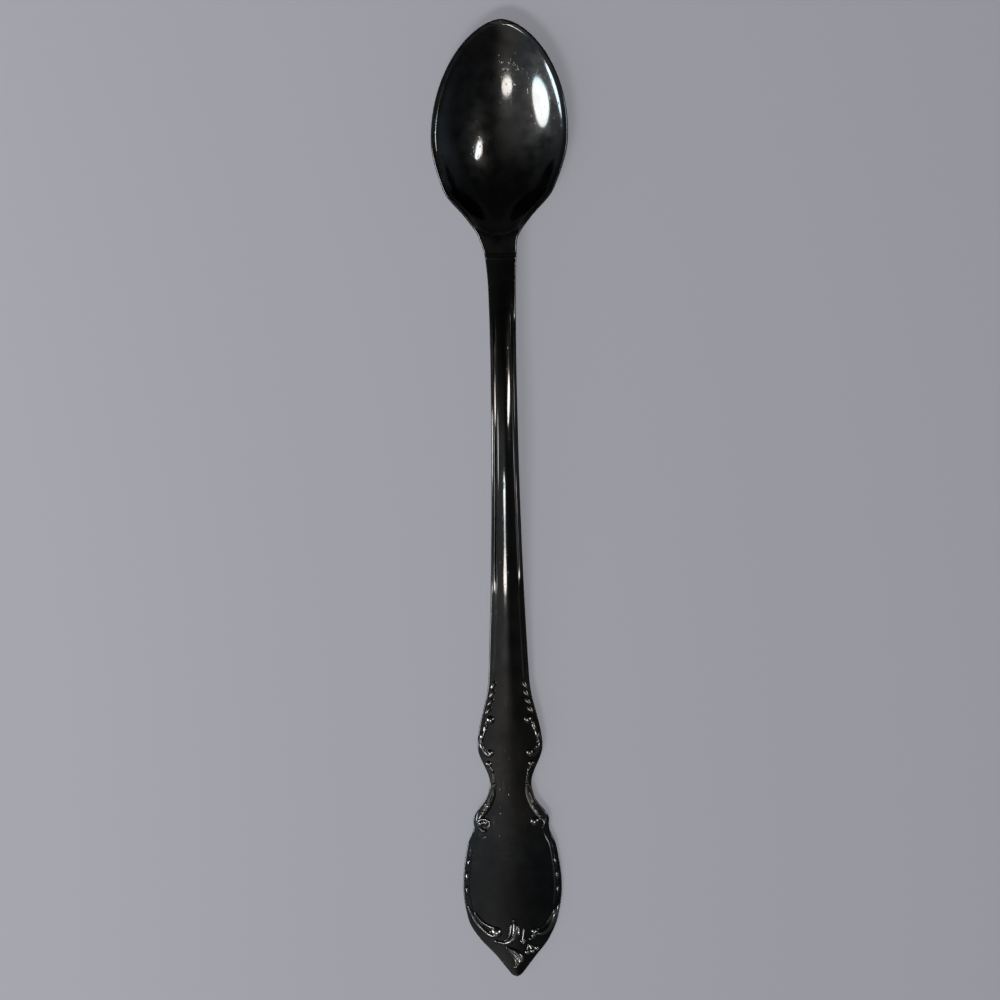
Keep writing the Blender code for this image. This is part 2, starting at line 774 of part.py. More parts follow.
def make_leaf(name, path, half_width_of_leaf, relief, material, parent):
    """A leaf with pointed ends, fullest past its middle."""
    shares, _ = shares_along(path)
    fullness = [max(0.2, math.sin(math.pi * share**1.3)) for share in shares]
    widths = [half_width_of_leaf * full for full in fullness]
    reliefs = [relief * full for full in fullness]
    applied_strip(name, path, widths, reliefs, material, parent)


def make_spray(material, parent):
    """The spray at the handle's point: a plume, a sprig beside it, a leaf below and a run of beads."""
    foot = AT_TIP_FLANK + SPRAY_FOOT
    plume = arc((foot, -PLUME_SWEEP), (-PLUME_LENGTH, PLUME_SWEEP), 1)
    make_leaf("tip_plume", plume, PLUME_HALF_WIDTH, PLUME_RELIEF, material, parent)
    sprig = arc((foot, SPRIG_OFFSET + SPRIG_SWEEP), (-SPRIG_LENGTH, SPRIG_SWEEP), -1)
    make_leaf("tip_sprig", sprig, SPRIG_HALF_WIDTH, SCROLL_RELIEF, material, parent)
    leaf = arc((foot + TIP_LEAF_DROP, -TIP_LEAF_SWEEP), (TIP_LEAF_LENGTH, TIP_LEAF_SWEEP), 1)
    make_leaf("tip_leaf", leaf, TIP_LEAF_HALF_WIDTH, SCROLL_RELIEF, material, parent)
    beads = edge_run(1, foot, foot + BEAD_RUN, BEAD_INSET)
    shares, _ = shares_along(beads)
    fullness = [0.35 + 0.65 * abs(math.sin(math.pi * BEAD_COUNT * share)) for share in shares]
    widths = [BEAD_HALF_WIDTH * full for full in fullness]
    reliefs = [SCROLL_RELIEF * full for full in fullness]
    applied_strip("tip_beads", beads, widths, reliefs, material, parent)


def make_spoon():
    for old in list(bpy.data.objects):
        bpy.data.objects.remove(old)
    frame = bpy.data.objects.new("spoon_frame", None)
    bpy.context.scene.collection.objects.link(frame)
    bowl_metal = polished_metal("bowl_metal", BOWL_COLOUR, 0.08)
    handle_metal = polished_metal("handle_metal", HANDLE_COLOUR, 0.12)
    ornament_metal = polished_metal("ornament_metal", ORNAMENT_COLOUR, 0.2)
    make_bowl(bowl_metal, frame)
    make_handle(handle_metal, frame)
    for label, side in SIDES:
        make_husks(label, side, ornament_metal, frame)
        make_shoulder_scroll(label, side, ornament_metal, frame)
        make_waist_scroll(label, side, ornament_metal, frame)
        make_border(label, side, ornament_metal, frame)
        make_corner_scroll(label, side, ornament_metal, frame)
    make_spray(ornament_metal, frame)


make_spoon()
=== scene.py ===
"""Finished looks of a long-handled infant feeding spoon, made round its packed model.

Metres, +Z up. The spoon lies on a table with its bowl open upwards, and +Y points at the bowl's tip.
A station is a distance along the spoon, measured from the bowl's tip, and x is the distance to the
right of its middle.
"""

import math
from itertools import accumulate
from types import SimpleNamespace

import bmesh
import bpy
import numpy as np
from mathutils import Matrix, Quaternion, Vector


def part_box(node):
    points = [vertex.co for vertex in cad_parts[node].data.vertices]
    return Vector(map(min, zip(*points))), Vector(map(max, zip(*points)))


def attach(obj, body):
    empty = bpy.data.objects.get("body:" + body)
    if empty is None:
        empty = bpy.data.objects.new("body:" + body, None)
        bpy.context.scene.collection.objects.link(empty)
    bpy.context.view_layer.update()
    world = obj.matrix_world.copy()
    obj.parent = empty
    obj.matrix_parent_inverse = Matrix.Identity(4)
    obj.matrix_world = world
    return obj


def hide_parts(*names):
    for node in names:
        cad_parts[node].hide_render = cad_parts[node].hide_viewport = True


bl_info = {
    "name": "Infant Spoon",
    "version": (1, 0, 0),
    "blender": (4, 5, 0),
    "location": "3D View > Sidebar > Spoon",
    "description": "Makes the polished bowl, threaded handle and struck ornament of an infant spoon",
    "category": "Object",
}

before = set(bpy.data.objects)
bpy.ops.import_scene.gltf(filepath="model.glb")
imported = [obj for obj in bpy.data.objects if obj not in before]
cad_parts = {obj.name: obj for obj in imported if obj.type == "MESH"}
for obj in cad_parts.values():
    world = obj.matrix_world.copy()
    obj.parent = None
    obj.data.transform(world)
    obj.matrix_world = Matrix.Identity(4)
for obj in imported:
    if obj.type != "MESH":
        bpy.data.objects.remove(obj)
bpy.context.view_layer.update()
BOWL_LOW, BOWL_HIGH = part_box("bowl")
HANDLE_LOW, HANDLE_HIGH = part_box("handle")

MM = 0.001
# Each side's name, the sign of its x, and how far its ornament's ridges may be lightened, which also lowers
# its husks. The right side's ridges are kept darker as painted shade on that side.
SIDES = (("left", -1, 1.0), ("right", 1, 0.6))
# Spacing of the samples of a curve along the spoon
SAMPLE = 0.02 * MM
LANDMARKS = (
    "widest",
    "heel_shoulder",
    "heel_throat",
    "heel_foot",
    "neck",
    "neck_taper",
    "stem",
    "husk",
    "shoulder",
    "waist",
    "leaf",
    "volute",
    "notch",
    "panel_shoulder",
    "panel",
    "tip_shoulder",
    "tip_flank",
    "tip_taper",
    "point_foot",
    "point",
)

# Rows of points across a section: over the face from its middle to its edge, down the edge, and under it.
# They lie close together in the band along the edge, which carries the threads.
FACE_ROWS = 36
EDGE_ROWS = 5
BACK_ROWS = 26
BAND = 1.25 * MM
WIDEST_BAND_SHARE = 0.75
BAND_ROWS = MM * np.array(
    (1.25, 1.16, 1.08, 1.01, 0.95, 0.89, 0.83, 0.77, 0.71, 0.65, 0.59, 0.53)
    + (0.47, 0.41, 0.35, 0.29, 0.24, 0.19, 0.14, 0.10, 0.06, 0.03, 0.01, 0.0)
)
FACE_INSETS = np.concatenate((np.full(FACE_ROWS, BAND), BAND_ROWS))
FACE_SHARES = np.concatenate((np.arange(FACE_ROWS) / FACE_ROWS, np.ones(len(BAND_ROWS))))
EDGE_SHARES = np.linspace(0.0, 1.0, EDGE_ROWS + 1)[1:]
BACK_SHARES = np.linspace(1.0, 0.0, BACK_ROWS + 1)[1:]

# Columns of points along the spoon, which start closer together a little before the ornament
NOSE_COLUMNS = 221
HEEL_COLUMNS = 100
STEM_COLUMNS = 150
ORNAMENT_COLUMNS = 320
ORNAMENT_LEAD = 1.0 * MM
# Samples of the underside's middle line
KEEL_SAMPLES = 600
# What turns a station, x and height over to the other side
MIRRORED = (1.0, -1.0, 1.0)

# The slanted joint at the neck: how far the handle carries its slant on, and rounds until a column settles
SCARF_RUN = 10.0 * MM
SCARF_ROUNDS = 8

# Closing of a mesh: points merged, slivers removed, and the angle past which an edge stays sharp
MERGE = 0.0005 * MM
SLIVER = 0.0001 * MM
SHARP = math.radians(60)

# Relief of the ornament: the grid it is cut from, how far its foot and its root are let into the face,
# how steeply it may rise from the outline, and the spacing of a stroke's rounds in millimetres
CELL = 0.04 * MM
FOOT = 0.06 * MM
KEPT_FOOT = 0.9 * FOOT
ROOT = 0.15 * MM
OUTLINE_MARGIN = 0.06 * MM
OUTLINE_SLOPE = 1.5
BELOW_ALL = -1.0 * MM
MARK_SPACING = 0.012
JOIN_ROUNDS = 4

# What the finish reads: the ornament's fully rubbed height, the stain at its foot, and lines on the handle.
# The band along the neck's joint is lighter partly as rubbed filler and partly as a painted highlight.
RUBBED_HEIGHT = 0.22 * MM
FOOT_STAIN = 0.35
THREAD_RUBBING = 0.3
FIELD_STAIN = 0.6
JOINT_WEAR_AND_HIGHLIGHT_SPREAD = 1.5

# Points and faces of what the geometry trees make, and how far a husk tapers
PATH_POINTS = 60
RIB_POINTS = 12
BORDER_POINTS = 240
WIRE_POINTS = 20
BALL_SEGMENTS = 32
BALL_RINGS = 20
HUSK_TAPER = 0.35

# The patch near the bowl's tip that use has scuffed most
USED_SPOT = (1.5 * MM, 66.8 * MM, 3.0 * MM)
USED_CORE = 1.0 * MM
USED_REACH = 3.6 * MM

# Stage: the floor, the place that the soft boxes face, and for each box its place from there, its two
# widths, its turn in degrees about its own axis, and whether it casts a shadow. Only one does, so the
# spoon's shadow is faint.
FLOOR_REACH = 4.0
FLOOR_ROUGHNESS = 0.9
FLOOR_GLOSS = 0.1
BOWL_MIDDLE = Vector((0.0, 0.055, 0.004))
SOFT_BOXES = {
    "window": ((-0.551, -0.115, 0.311), (0.275, 0.165), 38.0, False),
    "top": ((-0.469, -0.989, 2.244), (0.70, 0.34), 25.0, True),
    "side": ((1.746, 0.253, 2.416), (0.90, 0.36), -53.0, False),
}
# Camera: the width of its sensor in millimetres, and the nearest distance that it shows
SENSOR_WIDTH = 36.0
CLIP_START = 0.01


def size(name, description, millimetres):
    """A length that the user can change. It is written in millimetres and kept in metres."""
    return bpy.props.FloatProperty(
        name=name, description=description, default=millimetres * MM, unit="LENGTH", precision=5
    )


def share_of(name, description, value, highest=1.0):
    """A share, or a power of a curve, that the user can change."""
    return bpy.props.FloatProperty(
        name=name, description=description, default=value, min=0.0, max=highest, subtype="FACTOR"
    )


def glow(name, description, value):
    return bpy.props.FloatProperty(name=name, description=description, default=value, min=0.0)


def turn(name, description, degrees):
    return bpy.props.FloatProperty(
        name=name, description=description, default=math.radians(degrees), subtype="ANGLE"
    )


def count_of(name, description, value):
    return bpy.props.IntProperty(name=name, description=description, default=value, min=1)


def tint(name, description, colour):
    return bpy.props.FloatVectorProperty(
        name=name, description=description, default=colour, size=3, subtype="COLOR", min=0.0, max=1.0
    )


class SpoonLengths(bpy.types.PropertyGroup):
    """Lengths along the spoon, each from one landmark of its outline to the next, bowl tip first."""

    widest: size("Bowl nose", "From the bowl's tip to its widest place", 17.7)
    heel_shoulder: size("Heel shoulder", "From the widest place to the shoulder of the heel", 8.3)
    heel_throat: size("Heel throat", "From the heel's shoulder to its steepest place", 4.5)
    heel_foot: size("Heel foot", "From there to the foot of the heel", 2.8)
    neck: size("Neck", "From the foot of the heel to the joint", 2.7)
    neck_taper: size("Neck taper", "From the joint to the end of the neck", 6.0)
    stem: size("Stem taper", "From the neck to the slimmest place of the stem", 10.0)
    husk: size("Stem flare", "From the slimmest place to the first husk", 48.6)
    shoulder: size("Shoulder", "From the first husk to the widest place of the shoulder", 10.1)
    waist: size("Waist", "From the shoulder to the waist", 5.7)
    leaf: size("Leaf", "From the waist to the leaf below it", 2.2)
    volute: size("Volute", "From the leaf to the volutes over the panel", 3.4)
    notch: size("Notch", "From the volutes to the notch under them", 0.9)
    panel_shoulder: size("Panel shoulder", "From the notch to the shoulder of the panel", 3.1)
    panel: size("Panel", "From the panel's shoulder to its widest place", 6.2)
    tip_shoulder: size("Tip shoulder", "From the panel to the shoulder of its tip", 5.0)
    tip_flank: size("Tip flank", "From the tip's shoulder to its flank", 3.0)
    tip_taper: size("Tip taper", "From the flank to the taper of the tip", 2.8)
    point_foot: size("Point foot", "From the taper to the foot of the point", 1.8)
    point: size("Point", "Length of the point", 1.2)


class SpoonWidths(bpy.types.PropertyGroup):
    """Full widths at the landmarks of the outline, and how far it is set to the right of the middle."""

    widest: size("Bowl", "Width of the bowl at its widest place", (BOWL_HIGH.x - BOWL_LOW.x) / MM)
    heel_shoulder: size("Heel shoulder", "Width at the shoulder of the heel", 16.85)
    heel_throat: size("Heel throat", "Width at the heel's steepest place", 9.55)
    heel_foot: size("Heel foot", "Width at the foot of the heel", 5.95)
    neck: size("Neck", "Width at the joint between bowl and handle", 4.85)
    neck_taper: size("Neck taper", "Width at the end of the neck", 4.2)
    stem: size("Stem", "Width at the slimmest place", 3.95)
    husk: size("Husk", "Width at the first husk", 6.25)
    shoulder: size("Shoulder", "Width of the shoulder", 9.9)
    waist: size("Waist", "Width of the waist", 6.32)
    leaf: size("Leaf", "Width at the leaf below the waist", 7.3)
    volute: size("Volute", "Width over the volutes", 11.6)
    notch: size("Notch", "Width in the notch under the volutes", 11.4)
    panel_shoulder: size("Panel shoulder", "Width at the shoulder of the panel", 13.6)
    panel: size("Panel", "Width of the panel", (HANDLE_HIGH.x - HANDLE_LOW.x) / MM)
    tip_shoulder: size("Tip shoulder", "Width at the shoulder of the tip", 13.6)
    tip_flank: size("Tip flank", "Width at the flank of the tip", 10.5)
    tip_taper: size("Tip taper", "Width at the taper of the tip", 5.7)
    point_foot: size("Point foot", "Width at the foot of the point", 2.9)
    point: size("Point", "Width of the point", 0.9)
    nose_lean: size("Nose lean", "How far the bowl's tip is set to the right", 0.5)
    heel_lean: size("Heel lean", "How far the bowl's heel is set to the left", 0.47)
    neck_lean: size("Neck lean", "How far the neck is set to the left at the joint", 0.141)
    point_lean: size("Point lean", "How far the handle's point leans to the right", 0.45)


class SpoonProfile(bpy.types.PropertyGroup):
    """The spoon seen from the side, and the section of its bowl."""

    bowl_depth: size("Bowl depth", "Height of the rim above the table", 5.8)
    bowl_tip_lift: size("Tip lift", "Rise of the rim at the bowl's tip", 0.2)
    neck_rise: size("Neck rise", "Rise of the upper face from the rim to the neck", 1.2)
    arch_run: size("Arch run", "From the neck to the top of the handle's arch", 25.5)
    arch_height: size("Arch height", "Height of the handle's arch", HANDLE_HIGH.z / MM)
    lower_stem_run: size("Lower stem run", "From the top of the arch to the lower stem", 28.0)
    lower_stem_height: size("Lower stem height", "Height of the face at the lower stem", 5.0)
    shoulder_height: size("Shoulder height", "Height of the face at the shoulder", 3.1)
    point_lift: size("Point lift", "Rise of the point above the table", 0.6)
    neck_thickness: size("Neck thickness", "Metal at the neck", 2.7)
    stem_thickness: size("Stem thickness", "Metal in the stem", 2.4)
    husk_thickness: size("Husk thickness", "Metal at the first husk", 2.1)
    panel_thickness: size("Panel thickness", "Metal in the panel", 1.8)
    point_thickness: size("Point thickness", "Metal at the point", 1.2)
    table_wear: size("Table wear", "Metal worn off where the spoon meets the table", 0.1)
    bowl_wall: size("Bowl wall", "Metal under the bowl's hollow", 1.2)
    rim_land: size("Rim land", "Width of the flat on top of the rim", 0.8)
    rim_edge: size("Rim edge", "Height of the rim's outer edge", 0.45)
    rim_round: size("Rim round", "Rounding of the rim's outer edge", 0.28)
    lip_softness: size("Lip softness", "Rounding between the rim's flat and the hollow", 0.2)
    deepest_setback: size("Deepest setback", "From the bowl's widest place to its deepest", 2.3)
    lip_ridge: size("Lip ridge", "Height of the fine ridge round the hollow's edge, at the heel", 0.09)
    lip_wear: share_of("Lip wear", "Height of that ridge round the nose against its full height", 0.22)
    lip_breadth: share_of("Lip breadth", "Width of that ridge as a share of the hollow", 0.03)
    hollow_setback: size("Hollow setback", "From the end of the hollow to the joint at the neck", 3.2)
    nose_sharpness: share_of("Nose sharpness", "Power of the nose's curve, 0.5 for an ellipse", 0.59)
    heel_spread: share_of("Heel spread", "How much shorter the hollow's heel is along its sides", 0.1)
    heel_sweep: share_of("Heel sweep", "Power of the underside's curve at the heel", 1.4, 4.0)
    bowl_flatness: share_of("Bowl flatness", "How flat the underside of the bowl is", 0.2)
    stem_flatness: share_of("Stem flatness", "How flat the underside of the stem is", 0.1)
    panel_flatness: share_of("Panel flatness", "How flat the underside of the panel is", 0.85)
    hollow_fullness: share_of("Hollow fullness", "How much fuller than a parabola the hollow is", 0.02)
    scarf_slope: share_of("Scarf slope", "Slant of the brazed joint at the neck", 0.9, 2.0)
    joint_film: size("Joint film", "Width of the hairline at the neck's joint", 0.02)
    joint_ridge: size("Joint ridge", "Height of the filler that stands out along that joint", 0.05)
    joint_half_width: size("Joint half width", "Half the width of that filler", 0.16)


class SpoonEdge(bpy.types.PropertyGroup):
    """Section of the handle: a crowned face between two edge threads."""

    edge_round: size("Edge round", "Rounding of the upper edges", 0.16)
    edge_height: size("Edge height", "Height of the handle's sides", 0.7)
    neck_crown: size("Neck crown", "Swell of the face at the neck", 0.1)
    stem_crown: size("Stem crown", "Swell of the face along the stem", 0.7)
    shoulder_crown: size("Shoulder crown", "Swell of the face at the shoulder", 0.45)
    waist_crown: size("Waist crown", "Swell of the face at the waist", 0.2)
    panel_crown: size("Panel crown", "Swell of the face at the panel", 0.5)
    point_crown: size("Point crown", "Swell of the face at the point", 0.1)
    ridge_softness: share_of("Ridge softness", "Roundness of the ridge down the middle of the face", 0.42)
    thread_inset: size("Thread inset", "From the outline to the ridge of the edge thread", 0.45)
    thread_half_width: size("Thread half width", "Half the width of the edge thread", 0.27)
    thread_height: size("Thread height", "Height of the edge thread", 0.15)
    groove_inset: size("Groove inset", "From the outline to the groove beside the thread", 0.84)
    groove_half_width: size("Groove half width", "Half the width of the groove", 0.17)
    groove_depth: size("Groove depth", "Depth of the groove", 0.13)
    thread_start: size("Thread start", "From the neck to the start of the threads", 8.0)
    thread_fade: size("Thread fade", "Length over which the threads rise", 8.0)
    thread_wear: share_of("Thread wear", "Height of the threads by the husks against the full one", 0.12)
    wear_start: size("Wear start", "From where the threads start to be worn to the first husk", 20.0)
    wear_end: size("Wear end", "From where they are fully worn to the first husk", 12.0)
    thread_end: size("Thread end", "From where the threads start to die away to the first husk", 1.8)
    field_inset: size("Field inset", "From the outline to the line round the panel's field", 1.08)
    field_half_width: size("Field half width", "Half the width of that line", 0.14)
    field_depth: size("Field depth", "Depth of that line", 0.03)
    field_start: size("Field start", "From the notch to the start of that line", 0.5)
    field_fade: size("Field fade", "Length over which that line deepens", 1.5)
    field_end: size("Field end", "From the panel's widest place to where that line starts to die away", 2.5)


class SpoonOrnament(bpy.types.PropertyGroup):
    """Struck ornament on the handle's face."""

    husk_count: count_of("Husks", "Husks on each edge at the shoulder", 4)
    husk_run: size("Husk run", "Length of the run of husks", 5.4)
    husk_inset: size("Husk inset", "From the outline to the middle of the husks", 0.8)
    husk_length: size("Husk length", "Length of one husk", 1.6)
    husk_half_width: size("Husk half width", "Half the width of one husk", 0.5)
    husk_relief: size("Husk relief", "Height of the husks", 0.2)
    husk_turn: turn("Husk turn", "How far each husk is turned out of their line", 27.0)
    border_gap: size("Border gap", "From the notch to the start of the panel's borders", 1.4)
    border_end: size("Border end", "From the panel's widest place to the end of its borders", 1.6)
    border_inset: size("Border inset", "From the outline to the panel's borders", 0.6)
    border_half_width: size("Border half width", "Half the width of the borders' beads", 0.3)
    border_pitch: size("Border pitch", "From one bead of a border to the next", 2.13)
    border_thinness: share_of("Border thinness", "Width between the beads against the beads' width", 0.06)
    bead_half_width: size("Bead half width", "Half the width of the beads at the tip", 0.42)
    rib_half_width: size("Rib half width", "Half the width of the ribs that carry the beads", 0.2)
    relief: share_of("Relief", "Height of the scrolls against their drawn height", 0.55, 2.0)
    boldness: share_of("Boldness", "Width of the scrolls' strokes against their drawn width", 1.35, 2.0)
    blend: size("Blend", "Softness where two strokes of a scroll meet", 0.045)


class SpoonFinish(bpy.types.PropertyGroup):
    """Colours and polish of the dark metal."""

    cool: tint("Cool black", "Reflection of the metal where it leans to blue", (0.025, 0.031, 0.036))
    warm: tint("Warm black", "Reflection of the metal where it leans to brown", (0.043, 0.040, 0.038))
    # Lighter ridges are rubbed metal; on the bowl's lip and the neck's joint they are partly a painted
    # highlight
    rubbed: tint("Rubbed metal", "Reflection of the ridges that hands have rubbed", (0.200, 0.200, 0.198))
    recess: tint("Recess", "Reflection in the grooves and round the ornament", (0.010, 0.010, 0.011))
    grazing: tint("Grazing tint", "How much of the brightening at edges is kept", (0.5, 0.5, 0.5))
    polish: share_of("Polish", "Roughness of clean metal", 0.07)
    dulling: share_of("Dulling", "Roughness added by handling", 0.05)
    scuff: share_of("Scuff", "Strength of the fine scuffs", 0.65)
    smudge: share_of("Smudge", "Darkness of the cloudy smudges", 0.35)
    ornament_dulling: share_of("Ornament dulling", "Roughness added on the raised ornament", 0.09)
    haze: share_of("Haze", "How much of the film left by use shows in the bowl", 0.16)
    handle_haze: share_of("Handle haze", "How much of that film shows on the handle", 0.04)
    haze_spread: share_of("Haze spread", "Roughness of that film", 0.36)


class SpoonStage(bpy.types.PropertyGroup):
    """Floor, lamps and camera."""

    floor: tint("Floor", "Colour of the floor", (0.29, 0.295, 0.34))
    sky: tint("Sky", "Soft light from the left, over the handle", (0.54, 0.545, 0.55))
    dusk: tint("Dusk", "Soft light from the right and from behind the bowl", (0.03, 0.03, 0.03))
    lamplight: tint("Lamplight", "Colour of the soft boxes", (1.0, 0.985, 0.94))
    window_glow: glow("Window glow", "Brightness of the wide soft box on the left", 34.0)
    top_glow: glow("Top glow", "Brightness of the soft box over the handle", 29.0)
    side_glow: glow("Side glow", "Brightness of the soft box on the right", 36.0)
    camera_height: size("Camera height", "Height of the camera above the table", 900.0)
    framed_width: size("Framed width", "Width of the table that the picture takes in", 152.3)
    camera_roll: turn("Camera roll", "Turn of the camera about its own axis", -1.0)
    camera_aside: size("Camera aside", "How far left of the spoon's middle the camera stands", 0.88)
    camera_back: size("Camera back", "How far the camera stands from there towards the handle", 0.18)
    framed_height: size("Framed height", "Height above the table at which the framed width is taken", 4.4)


def ease(share):
    """A smooth step from 0 to 1, level at both ends."""
    share = np.clip(share, 0.0, 1.0)
    return share * share * (3.0 - 2.0 * share)


def softened(values, spread):
    """Evenly spaced samples, blurred along their length, with both ends carried on straight."""
    reach = int(np.ceil(3.0 * spread / SAMPLE))
    bell = np.exp(-0.5 * (np.arange(-reach, reach + 1) * SAMPLE / spread) ** 2)
    steps = np.arange(1, reach + 1)
    before = values[0] - (values[1] - values[0]) * steps[::-1]
    after = values[-1] + (values[-1] - values[-2]) * steps
    return np.convolve(np.concatenate((before, values, after)), bell / bell.sum(), mode="valid")


def end_slope(near, far, near_slope, far_slope):
    """Slope at the end of a curve, from its first two spans, held so that the curve doesn't overshoot."""
    slope = ((2.0 * near + far) * near_slope - near * far_slope) / (near + far)
    steepest = 3.0 * near_slope
    return min(max(slope, min(0.0, steepest)), max(0.0, steepest))


def hermite(knots, values, slopes, places):
    """Values between knots, on cubics that have the given values and slopes there."""
    index = np.clip(np.searchsorted(knots, places, side="right") - 1, 0, len(knots) - 2)
    span = (knots[index + 1] - knots[index]).reshape(-1, *[1] * (values.ndim - 1))
    share = (places - knots[index]).reshape(span.shape) / span
    blend = share * share * (3.0 - 2.0 * share)
    rise_in = share * (1.0 - share) ** 2 * span * slopes[index]
    rise_out = share**2 * (share - 1.0) * span * slopes[index + 1]
    return values[index] * (1.0 - blend) + values[index + 1] * blend + rise_in + rise_out


def fair_curve(points, spread):
    """A function of the station through (station, value) points, without overshoot, then softened."""
    knots, values = np.array(points, float).T
    spans = np.diff(knots)
    rises = np.diff(values) / spans
    slopes = [end_slope(spans[0], spans[1], rises[0], rises[1])]
    for before, after, rise, next_rise in zip(spans, spans[1:], rises, rises[1:]):
        if rise * next_rise <= 0.0:
            slopes.append(0.0)
            continue
        weight = 2.0 * after + before
        next_weight = after + 2.0 * before
        slopes.append((weight + next_weight) / (weight / rise + next_weight / next_rise))
    slopes.append(end_slope(spans[-1], spans[-2], rises[-1], rises[-2]))
    places = np.arange(knots[0], knots[-1] + SAMPLE / 2, SAMPLE)
    samples = softened(hermite(knots, values, np.array(slopes), places), spread)
    return lambda station: np.interp(station, places, samples)


def line_relief(distance, middle, half_width):
    """Height of a rounded line, from 0 beside it to 1 on its ridge, by the distance across it."""
    return np.cos(np.pi / 2 * np.clip((distance - middle) / half_width, -1.0, 1.0)) ** 2


def stroke(points, spacing):
    """Rows of numbers along a smooth curve through given rows, each with a station and an x first."""
    rows = np.array(points, float)
    steps = np.hypot(*np.diff(rows[:, :2], axis=0).T)
    travelled = np.concatenate(([0.0], np.cumsum(steps)))
    slopes = np.gradient(rows, travelled, axis=0, edge_order=min(2, len(rows) - 1))
    places = np.linspace(0.0, travelled[-1], max(3, round(travelled[-1] / spacing)))
    return hermite(travelled, rows, slopes, places)


class SpoonShape:
    """The spoon's surfaces as functions of the station and the distance to one side."""

    def __init__(self, scene):
        self.widths = scene.spoon_widths
        self.profile = scene.spoon_profile
        self.edge = scene.spoon_edge
        stations = accumulate(getattr(scene.spoon_lengths, name) for name in LANDMARKS)
        self.at = SimpleNamespace(**dict(zip(LANDMARKS, stations)))
        self.at.hollow_end = self.at.neck - self.profile.hollow_setback
        self.at.deepest = self.at.widest + self.profile.deepest_setback
        self.at.arch = self.at.neck + self.profile.arch_run
        self.at.lower_stem = self.at.arch + self.profile.lower_stem_run
        self.draw_outline()
        self.draw_profile()

    def draw_outline(self):
        """Half-widths from the bowl's widest place to the point, and the lean of the middle line."""
        at = self.at
        widths = self.widths
        outline = [(getattr(at, name), getattr(widths, name)) for name in LANDMARKS]
        stations = np.arange(at.widest, at.point + SAMPLE / 2, SAMPLE)
        stations[-1] = at.point
        half = fair_curve(outline, spread=0.1 * MM)(stations) / 2
        mirrored = np.concatenate((half[:0:-1], half))
        broad = softened(mirrored, spread=0.4 * MM)[len(half) - 1 :]
        fine = softened(mirrored, spread=0.25 * MM)[len(half) - 1 :]
        along = ease((stations - at.stem) / (at.husk - at.stem))
        half = broad * (1.0 - along) + fine * along
        half *= widths.widest / 2 / half[0]
        point_round = widths.point / 2
        near_point = np.clip((stations - at.point + point_round) / point_round, 0.0, 1.0)
        self.stations = stations
        self.slopes = np.gradient(half, stations)
        self.halves = half * np.sqrt(1.0 - near_point**2)
        leans = [
            (0.0, widths.nose_lean),
            (at.widest, 0.0),
            (at.heel_foot, -widths.heel_lean),
            (at.neck, -widths.neck_lean),
            (at.neck_taper, 0.0),
            (at.tip_shoulder, 0.0),
            (at.tip_taper, widths.point_lean),
            (at.point, widths.point_lean),
        ]
        self.lean = fair_curve(leans, spread=0.5 * MM)

    def draw_profile(self):
        """Heights, thicknesses and shares that vary along the spoon."""
        at = self.at
        profile = self.profile
        edge = self.edge
        heights = [
            (0.0, profile.bowl_depth + profile.bowl_tip_lift),
            (at.widest, profile.bowl_depth),
            (at.neck, profile.bowl_depth + profile.neck_rise),
            (at.arch, profile.arch_height),
            (at.lower_stem, profile.lower_stem_height),
            (at.shoulder, profile.shoulder_height),
            (at.panel, profile.panel_thickness - profile.table_wear),
            (at.point, profile.point_thickness + profile.point_lift),
        ]
        thicknesses = [
            (at.neck, profile.neck_thickness),
            (at.stem, profile.stem_thickness),
            (at.husk, profile.husk_thickness),
            (at.panel, profile.panel_thickness),
            (at.point, profile.point_thickness),
        ]
        crowns = [
            (at.widest, 0.0),
            (at.neck, edge.neck_crown),
            (at.stem, edge.stem_crown),
            (at.shoulder, edge.shoulder_crown),
            (at.waist, edge.waist_crown),
            (at.panel, edge.panel_crown),
            (at.point, edge.point_crown),
        ]
        edge_heights = [
            (0.0, profile.rim_edge),
            (at.widest, profile.rim_edge),
            (at.neck, edge.edge_height),
            (at.point, edge.edge_height),
        ]
        edge_rounds = [
            (0.0, profile.rim_round),
            (at.heel_throat, profile.rim_round),
            (at.neck_taper, edge.edge_round),
            (at.point, edge.edge_round),
        ]
        flatnesses = [
            (0.0, profile.bowl_flatness),
            (at.neck, profile.stem_flatness),
            (at.husk, profile.stem_flatness),
            (at.panel, profile.panel_flatness),
            (at.point, profile.panel_flatness),
        ]
        field_start = at.notch + edge.field_start
        field_end = at.panel + edge.field_end
        field_shares = [
            (at.neck, 0.0),
            (field_start, 0.0),
            (field_start + edge.field_fade, 1.0),
            (field_end, 1.0),
            (field_end + edge.field_fade, 0.0),
            (at.point, 0.0),
        ]
        self.face_line = fair_curve(heights, spread=2.0 * MM)
        self.thickness = fair_curve(thicknesses, spread=2.0 * MM)
        self.crown = fair_curve(crowns, spread=1.0 * MM)
        self.edge_height = fair_curve(edge_heights, spread=1.0 * MM)
        self.edge_round = fair_curve(edge_rounds, spread=1.0 * MM)
        self.flatness = fair_curve(flatnesses, spread=1.0 * MM)
        self.field_share = fair_curve(field_shares, spread=0.2 * MM)
        self.thread_share = self.stem_share(edge.thread_wear)
        self.stain_share = self.stem_share(1.0)

    def stem_share(self, worn):
        """Height of the stem's edge lines against their full one. By the husks it is the worn share."""
        at = self.at
        start = at.neck + self.edge.thread_start
        shares = [
            (at.neck, 0.0),
            (start, 0.0),
            (start + self.edge.thread_fade, 1.0),
            (at.husk - self.edge.wear_start, 1.0),
            (at.husk - self.edge.wear_end, worn),
            (at.husk - self.edge.thread_end, worn),
            (at.husk, 0.0),
            (at.point, 0.0),
        ]
        return fair_curve(shares, spread=0.5 * MM)

    def half_width(self, station):
        return np.interp(station, self.stations, self.halves)

    def secant(self, station):
        """Distance across per distance square to the outline."""
        return np.sqrt(1.0 + np.interp(station, self.stations, self.slopes) ** 2)

